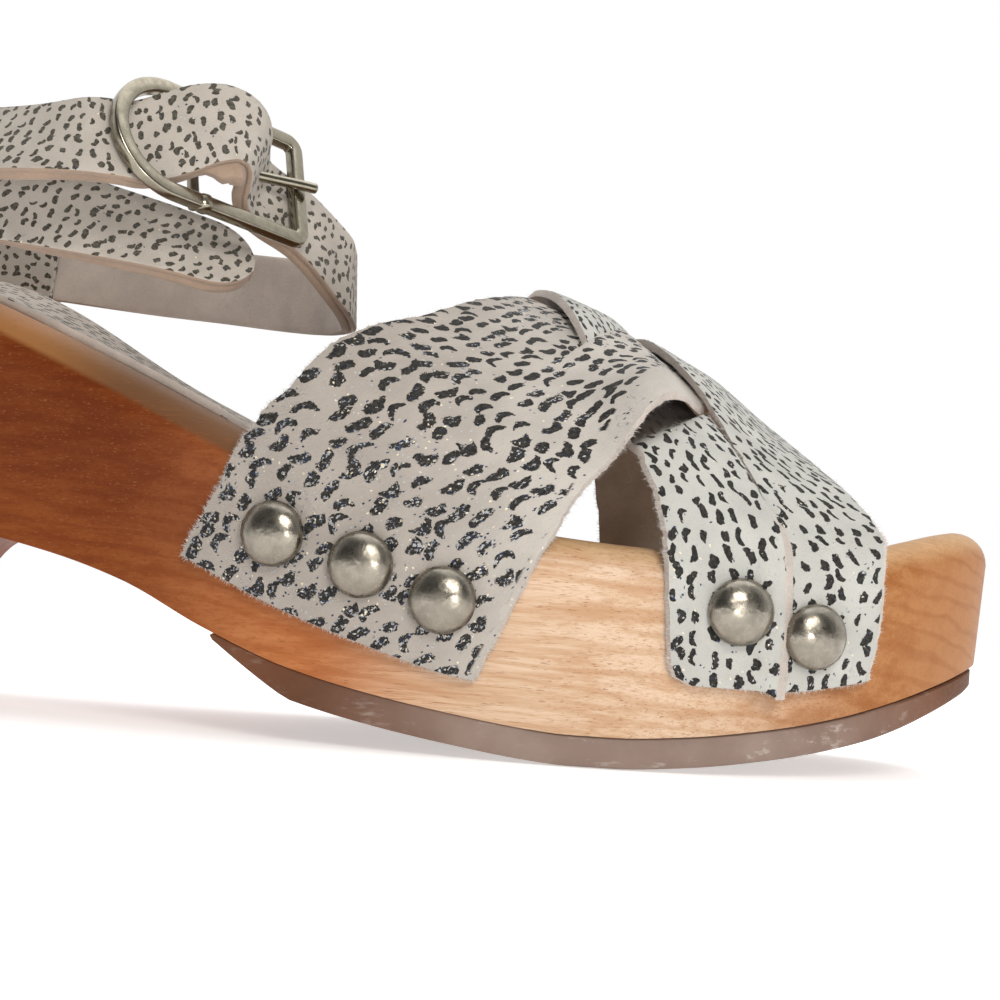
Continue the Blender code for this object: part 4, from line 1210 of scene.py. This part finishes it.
def rubber():
    sh = Shader("rubber")
    at = sh.frame_mm()
    x, y, z = sh.split(at)
    cloud = sh.ramp(sh.noise(at, 0.05, 4.0, 0.6)[0], 0.35, 0.65)
    grit = sh.noise(at, 1.4, 3.0, 0.6)[0]
    scuff = sh.noise(sh.join(sh.times(x, 0.25), y, z), 0.35, 4.0, 0.7)[0]
    brown = sh.mix(cloud, *RUBBER_BROWN)
    grey = sh.mix(cloud, *RUBBER_GREY)
    # Painted light: the rubber is greyer and lighter at the ball; real scuffs are denser there.
    painted_light = sh.times(sh.ramp(x, *PAINTED_LIGHT_FROM), sh.ramp(x, *PAINTED_LIGHT_TO))
    rubbed = sh.times(sh.ramp(scuff, 0.56, 0.72), sh.ramp(painted_light, 0.0, 1.0, 0.15, 0.6))
    body = sh.mix(rubbed, sh.mix(painted_light, brown, grey), RUBBER_SCUFF)
    rough = sh.ramp(grit, 0.3, 0.7, 0.55, 0.75)
    normal = sh.bump(grit, 0.05, 0.3)
    return sh.finish(Base_Color=body, Roughness=rough, Normal=normal, Specular_IOR_Level=0.2)


# Printed spots: their spacing, their least half length and half width and what chance adds to these,
# in millimetres, their main direction in degrees, how much foil they hold and how far from the strap's
# outer end loose glitter lies.
SPOTS = {
    "a": (4.2, 1.40, 0.80, 0.78, 0.42, -20.0, 0.20, 62.0),
    "b": (3.5, 1.00, 0.60, 0.52, 0.28, -8.0, 0.13, 30.0),
    "ankle": (2.4, 0.66, 0.38, 0.36, 0.18, 60.0, 0.05, 1.0),
    "sock": (3.0, 0.70, 0.50, 0.42, 0.25, 30.0, 0.05, 1.0),
}
# Spots get smaller towards the crossing: the strap's length, the distance from its ends where this begins
# and the share per millimetre.
FINER = {"a": (193.5, 38.0, 0.010), "b": (189.8, 20.0, 0.014)}
SPOT_RAGGED = 1.1
SPOT_WARP = 1.3
SPOT_BEND = 0.8
SPOT_TURN = 1.3
SPOT_SCATTER = 0.66
FLECKS_PER_MM = 3.0
FOIL_BLUE = (0.03, 0.045, 0.09)
FOIL_SILVER = (0.42, 0.42, 0.42)
FOIL_GOLD = (0.75, 0.66, 0.50)
FOLD_PAINTED_SHADE = (0.05, 0.034, 0.026)
# The rear strap is darker towards its rear edge, over these values of x.
SHADED_REAR = (58.0, 8.0)
SHADED_TINT = (0.76, 0.73, 0.71)


def finer_layout(sh, at, length, begins, growth):
    """Strap coordinates that run closer together towards the crossing."""
    along, side, _ = sh.split(at)
    near_end = sh.math("MINIMUM", along, sh.minus(length, along))
    past = sh.math("MAXIMUM", sh.minus(near_end, begins), 0.0)
    finer = sh.times(past, growth)
    grown = sh.times(sh.times(past, finer), 0.5)
    rest = sh.minus(growth * (length / 2 - begins) ** 2, sh.times(grown, 2.0))
    beyond = sh.times(sh.math("GREATER_THAN", along, length / 2), rest)
    along = sh.plus(along, sh.plus(grown, beyond))
    return sh.join(along, sh.times(side, sh.plus(finer, 1.0)), 0.0)


def spots(sh, kind, flat, ragged):
    """Share of dark ink: one ragged, bent spot with round ends in each cell."""
    spacing, least_long, more_long, least_wide, more_wide, angle, _, _ = SPOTS[kind]
    warp = sh.noise(flat, 0.42, 2.0, 0.6)[1]
    warp = sh.scaled(sh.vector("SUBTRACT", warp, (0.5, 0.5, 0.5)), SPOT_WARP)
    at = sh.vector("ADD", flat, warp)
    if kind in FINER:
        at = finer_layout(sh, at, *FINER[kind])
    cell = sh.cells(at, 1 / spacing, SPOT_SCATTER)
    red, green, blue = sh.split(cell["Color"])
    local = sh.vector("SUBTRACT", at, cell["Position"])
    turned = sh.plus(sh.times(sh.minus(red, 0.5), SPOT_TURN), math.radians(angle))
    local = sh.add("VectorRotate", {"rotation_type": "Z_AXIS"}, {"Vector": local, "Angle": turned}).outputs[0]
    along, side, _ = sh.split(local)
    bend = sh.times(sh.minus(green, 0.5), SPOT_BEND)
    side = sh.plus(side, sh.times(bend, along, along))
    long = sh.plus(least_long, sh.times(blue, more_long))
    wide = sh.plus(least_wide, sh.times(green, more_wide))
    over = sh.math("MAXIMUM", sh.minus(sh.math("ABSOLUTE", along), sh.minus(long, wide)), 0.0)
    reach = sh.math("SQRT", sh.plus(sh.times(over, over), sh.times(side, side)))
    reach = sh.plus(sh.math("DIVIDE", reach, wide), sh.times(sh.minus(ragged, 0.5), SPOT_RAGGED))
    return sh.ramp(reach, 1.08, 0.92)


def foil(sh, kind, flat, dark):
    """Where foil shines in the spots and between them, its colour and a chance value of each fleck."""
    amount, glitter = SPOTS[kind][-2:]
    chance, tone, _ = sh.split(sh.cells(flat, FLECKS_PER_MM, 1.0)["Color"])
    cluster = sh.ramp(sh.noise(flat, 0.065, 3.0, 0.6)[0], 0.44, 0.66)
    loose = sh.ramp(sh.split(flat)[0], glitter, glitter * 0.35)
    cluster = sh.math("MAXIMUM", cluster, sh.times(loose, 0.8))
    patch = sh.noise(flat, 1.05, 4.0, 0.72)[0]
    bare = sh.minus(0.74 - 0.35 * amount, sh.times(cluster, 0.8 * amount))
    in_spot = sh.times(dark, sh.math("GREATER_THAN", patch, bare))
    between = sh.math("LESS_THAN", chance, sh.times(cluster, 0.26 * amount))
    tint = sh.mix(sh.ramp(tone, 0.25, 0.45), FOIL_BLUE, FOIL_SILVER)
    tint = sh.mix(sh.ramp(tone, 0.84, 0.92), tint, FOIL_GOLD)
    return sh.math("MAXIMUM", in_spot, between), tint, tone


def printed_suede(kind, ground, inks, border=None):
    """Napped leather with dark printed spots, foil in them and glitter between them."""
    sh = Shader("suede_print_" + kind)
    flat = sh.flat_mm()
    ragged = sh.noise(flat, 1.5, 3.0, 0.6)[0]
    dark = spots(sh, kind, flat, ragged)
    if border is not None:
        dark = sh.times(dark, border(sh, flat, sh.attribute("front_edge")))
    shiny, foil_tint, tone = foil(sh, kind, flat, dark)
    nap = sh.noise(flat, 2.6, 3.0, 0.6)[0]
    cloud = sh.noise(flat, 0.09, 3.0, 0.55)[0]
    body = sh.mix(sh.ramp(cloud, 0.3, 0.7), shade(ground, 0.90), shade(ground, 1.06))
    body = sh.mix(sh.times(sh.ramp(nap, 0.5, 0.72), 0.34), body, shade(ground, 0.72))
    if border is not None:
        place_x = sh.split(sh.frame_mm())[0]
        body = sh.multiply(sh.ramp(place_x, *SHADED_REAR), body, SHADED_TINT)
    body = sh.mix(dark, body, sh.mix(sh.ramp(ragged, 0.35, 0.7), *inks))
    body = sh.mix(shiny, body, foil_tint)
    # Painted shade in the fold below the rear strap's arch.
    if kind == "b":
        body = sh.mix(sh.times(sh.attribute("fold"), 0.92), body, FOLD_PAINTED_SHADE)
    rough = sh.mix(dark, (0.92, 0.92, 0.92), (0.7, 0.7, 0.7))
    rough = sh.mix(shiny, rough, (0.3, 0.3, 0.3))
    normal = sh.bump(sh.plus(nap, sh.times(shiny, tone, 0.6)), 0.26, 0.75)
    return sh.finish(Base_Color=body, Metallic=sh.times(shiny, 0.85), Roughness=rough, Normal=normal,
                     Sheen_Weight=0.05, Sheen_Roughness=0.5, Specular_IOR_Level=0.25)


def raw_suede(name, tint):
    sh = Shader(name)
    at = sh.frame_mm()
    nap = sh.noise(at, 1.6, 4.0, 0.65)[0]
    cloud = sh.noise(at, 0.12, 3.0, 0.55)[0]
    body = sh.mix(sh.ramp(cloud, 0.3, 0.7), shade(tint, 0.82), tint)
    body = sh.mix(sh.times(sh.ramp(nap, 0.5, 0.75), 0.4), body, shade(tint, 0.6))
    return sh.finish(Base_Color=body, Roughness=0.95, Normal=sh.bump(nap, 0.3, 0.6), Sheen_Weight=0.2)


def pale_gold(name, tint, roughness, dent):
    sh = Shader(name)
    at = sh.frame_mm()
    tarnish = sh.noise(at, 0.5, 3.0, 0.6)[0]
    dents = sh.noise(at, 0.45, 2.0, 0.5)[0]
    body = sh.mix(sh.ramp(tarnish, 0.35, 0.75), tint, shade(tint, 0.78))
    rough = sh.ramp(tarnish, 0.3, 0.7, roughness * 0.8, roughness * 1.3)
    return sh.finish(Base_Color=body, Metallic=1.0, Roughness=rough, Normal=sh.bump(dents, 0.3, dent))


BORDER_GROWS = (30.0, 72.0)
BORDER_WIDTHS = (1.2, 8.0)


def widening_border(sh, flat, from_edge):
    """Spots stop short of this strap's front edge, more so towards the crossing."""
    along = sh.split(flat)[0]
    bare = sh.ramp(along, *BORDER_GROWS, *BORDER_WIDTHS)
    return sh.ramp(sh.minus(from_edge, bare), -0.3, 0.3)


def dress(obj, *looks):
    for look in looks:
        obj.data.materials.append(look)
    return obj


BLACK_INKS = ((0.008, 0.008, 0.008), (0.04, 0.035, 0.03))
OLIVE_INKS = ((0.035, 0.031, 0.023), (0.10, 0.09, 0.07))
# Stations along each slab, columns across it and how far its edges are rounded.
OUTSOLE_MESH = (90, 5, 0.5)
LIFT_MESH = (50, 5, 0.4)
SOCK_MESH = (80, 24, 0.3)
LEVEL_FACE = 0.6
# Each strap's letter and table, the rows between which it is slit, and the seed of its cut edges.
STRAPS = (("A", STRAP_A, 6.2, 20.0, 1.0), ("B", STRAP_B, -2.0, 11.0, 7.0))
FUZZ_SEED = 11


def build_shoe():
    looks = {
        "wood": wood(),
        "rubber": rubber(),
        "print_a": printed_suede("a", (0.475, 0.44, 0.40), BLACK_INKS, widening_border),
        "print_b": printed_suede("b", (0.47, 0.465, 0.435), BLACK_INKS),
        "print_ankle": printed_suede("ankle", (0.41, 0.37, 0.325), OLIVE_INKS),
        "print_sock": printed_suede("sock", (0.46, 0.41, 0.36), OLIVE_INKS),
        "raw": raw_suede("suede_raw", (0.52, 0.45, 0.40)),
        "fibres": raw_suede("suede_fibres", (0.60, 0.565, 0.53)),
        "edge": raw_suede("suede_cut_edge", (0.33, 0.235, 0.17)),
        "stud": pale_gold("stud_metal", (0.305, 0.277, 0.23), 0.27, 0.45),
        "buckle": pale_gold("buckle_metal", (0.32, 0.29, 0.225), 0.2, 0.1),
    }
    place(dress(wooden_sole(), looks["wood"]), "wood", "sole_wood")
    sole = slab("rubber_outsole", None, SKIVE_END_BACK, RUBBER_INSET, rubber_top, rubber_tread, OUTSOLE_MESH)
    place(dress(sole, looks["rubber"]), "rubber", "outsole_forefoot")
    front = BREAST_FOOT_BACK + HEEL_LIFT_FRONT_GAP
    heel = slab("rubber_heel_lift", front, None, HEEL_LIFT_INSET, lift_top, floor_height, LIFT_MESH)
    place(dress(heel, looks["rubber"]), "rubber", "heel_lift")
    sock = slab("sock_sheet", SOCK_FRONT_BACK, None, SOCK_INSET, sock_top, sock_underside, SOCK_MESH)
    rim_faces = [0 if abs(face.normal.z) > LEVEL_FACE else 1 for face in sock.data.polygons]
    sock.data.polygons.foreach_set("material_index", np.array(rim_faces, np.int32))
    place(dress(sock, looks["print_sock"], looks["raw"]), "sock_leather", "insole_sock")
    cut_lines = []
    for letter, *course in STRAPS:
        strap, cuts = woven_strap(letter, *course)
        cut_lines += cuts
        place(dress(strap, looks["print_" + letter.lower()], looks["raw"]), "suede", "upper")
    place(dress(fuzz("strap_fuzz", cut_lines, FUZZ_SEED), looks["fibres"]), "suede")
    place(dress(ankle_strap(), looks["print_ankle"], looks["edge"], looks["raw"]), "suede", "ankle_strap")
    band, pivot, knobs, prong = buckle()
    for piece in (band, pivot, *knobs):
        place(dress(piece, looks["buckle"]), "stud_metal", "buckle_frame")
    place(dress(prong, looks["buckle"]), "stud_metal", "buckle_prong")
    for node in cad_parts:
        if node.startswith("stud_"):
            place(dress(nail_head(node), looks["stud"]), "stud_metal", node)
        if node.startswith("strap_loop_"):
            place(dress(soft_tab(node), looks["print_ankle"]), "suede", node)


CAMERA_PLACE = (0.0609, -0.3220, 0.0266)
CAMERA_YAW = 5.0
CAMERA_PITCH = 3.6
CAMERA_ROLL = 4.2
CAMERA_LENS = 59.4
CAMERA_SENSOR = 36.0
CAMERA_NEAR = 0.01


def camera():
    yaw, pitch, roll = (math.radians(v) for v in (CAMERA_YAW, CAMERA_PITCH, CAMERA_ROLL))
    ahead = np.array((-math.sin(yaw) * math.cos(pitch), math.cos(yaw) * math.cos(pitch), math.sin(pitch)))
    right = np.array((math.cos(yaw), math.sin(yaw), 0))
    up = np.cross(right, ahead)
    tilted_right = right * math.cos(roll) + up * math.sin(roll)
    tilted_up = up * math.cos(roll) - right * math.sin(roll)
    data = bpy.data.cameras.new("camera")
    data.lens = CAMERA_LENS
    data.sensor_width = CAMERA_SENSOR
    data.clip_start = CAMERA_NEAR
    made = add_object("camera", data)
    axes = np.column_stack([tilted_right, tilted_up, -ahead, CAMERA_PLACE])
    made.matrix_world = Matrix(np.vstack([axes, (0, 0, 0, 1)]).tolist())
    bpy.context.scene.camera = made


def area_light(name, at, target, size, power, tint):
    data = bpy.data.lights.new(name, "AREA")
    data.size = size
    data.energy = power
    data.color = tint
    made = add_object(name, data)
    made.location = at
    made.rotation_euler = (Vector(target) - Vector(at)).to_track_quat("-Z", "Y").to_euler()


FLOOR_HALF = 3.0
FLOOR_Z = -0.0002
FLOOR_GLOW = 0.45
# The surround is white behind the shoe and darker on the camera's side.
WORLD_FADE = (-0.45, 0.20)
WORLD_LEVELS = (0.10, 1.0)
# Name, place, target, size, power and tint of each light.
LIGHTS = (
    ("key", (0.24, -0.62, 0.42), (0.05, -0.03, 0.05), 0.30, 2.9, (1.0, 0.97, 0.92)),
    ("front", (0.22, -0.46, 0.02), (0.06, -0.04, 0.03), 0.10, 0.55, (1.0, 0.98, 0.95)),
    ("top", (0.10, 0.10, 1.30), (0.0, 0.0, 0.0), 1.4, 7.0, (1.0, 1.0, 1.0)),
)


def studio():
    corners = [(x * FLOOR_HALF, y * FLOOR_HALF, FLOOR_Z) for x, y in ((-1, -1), (1, -1), (1, 1), (-1, 1))]
    mesh = bpy.data.meshes.new("floor")
    mesh.from_pydata(corners, [], [(0, 1, 2, 3)])
    floor = add_object("floor", mesh)
    sh = Shader("floor")
    speck = sh.noise(sh.frame_mm(), 0.02, 3.0)[0]
    tone = sh.mix(speck, (0.93, 0.93, 0.93), (0.96, 0.96, 0.96))
    glow = {"Emission_Color": (1.0, 1.0, 1.0), "Emission_Strength": FLOOR_GLOW}
    floor.data.materials.append(sh.finish(Base_Color=tone, Roughness=0.9, **glow))
    world = bpy.data.worlds.new("studio")
    world.use_nodes = True
    bpy.context.scene.world = world
    nodes = world.node_tree.nodes
    nodes["Background"].inputs["Color"].default_value = (1.0, 1.0, 1.0, 1.0)
    links = world.node_tree.links
    heading = nodes.new("ShaderNodeTexCoord")
    parts = nodes.new("ShaderNodeSeparateXYZ")
    level = nodes.new("ShaderNodeMapRange")
    level.interpolation_type = "SMOOTHSTEP"
    for socket, value in zip(("From Min", "From Max", "To Min", "To Max"), WORLD_FADE + WORLD_LEVELS):
        level.inputs[socket].default_value = value
    links.new(heading.outputs["Generated"], parts.inputs[0])
    links.new(parts.outputs["Y"], level.inputs["Value"])
    links.new(level.outputs[0], nodes["Background"].inputs["Strength"])
    for name, at, target, size, power, tint in LIGHTS:
        area_light(name, at, target, size, power, tint)
    bpy.context.scene.view_settings.view_transform = "Standard"


build_shoe()
studio()
camera()
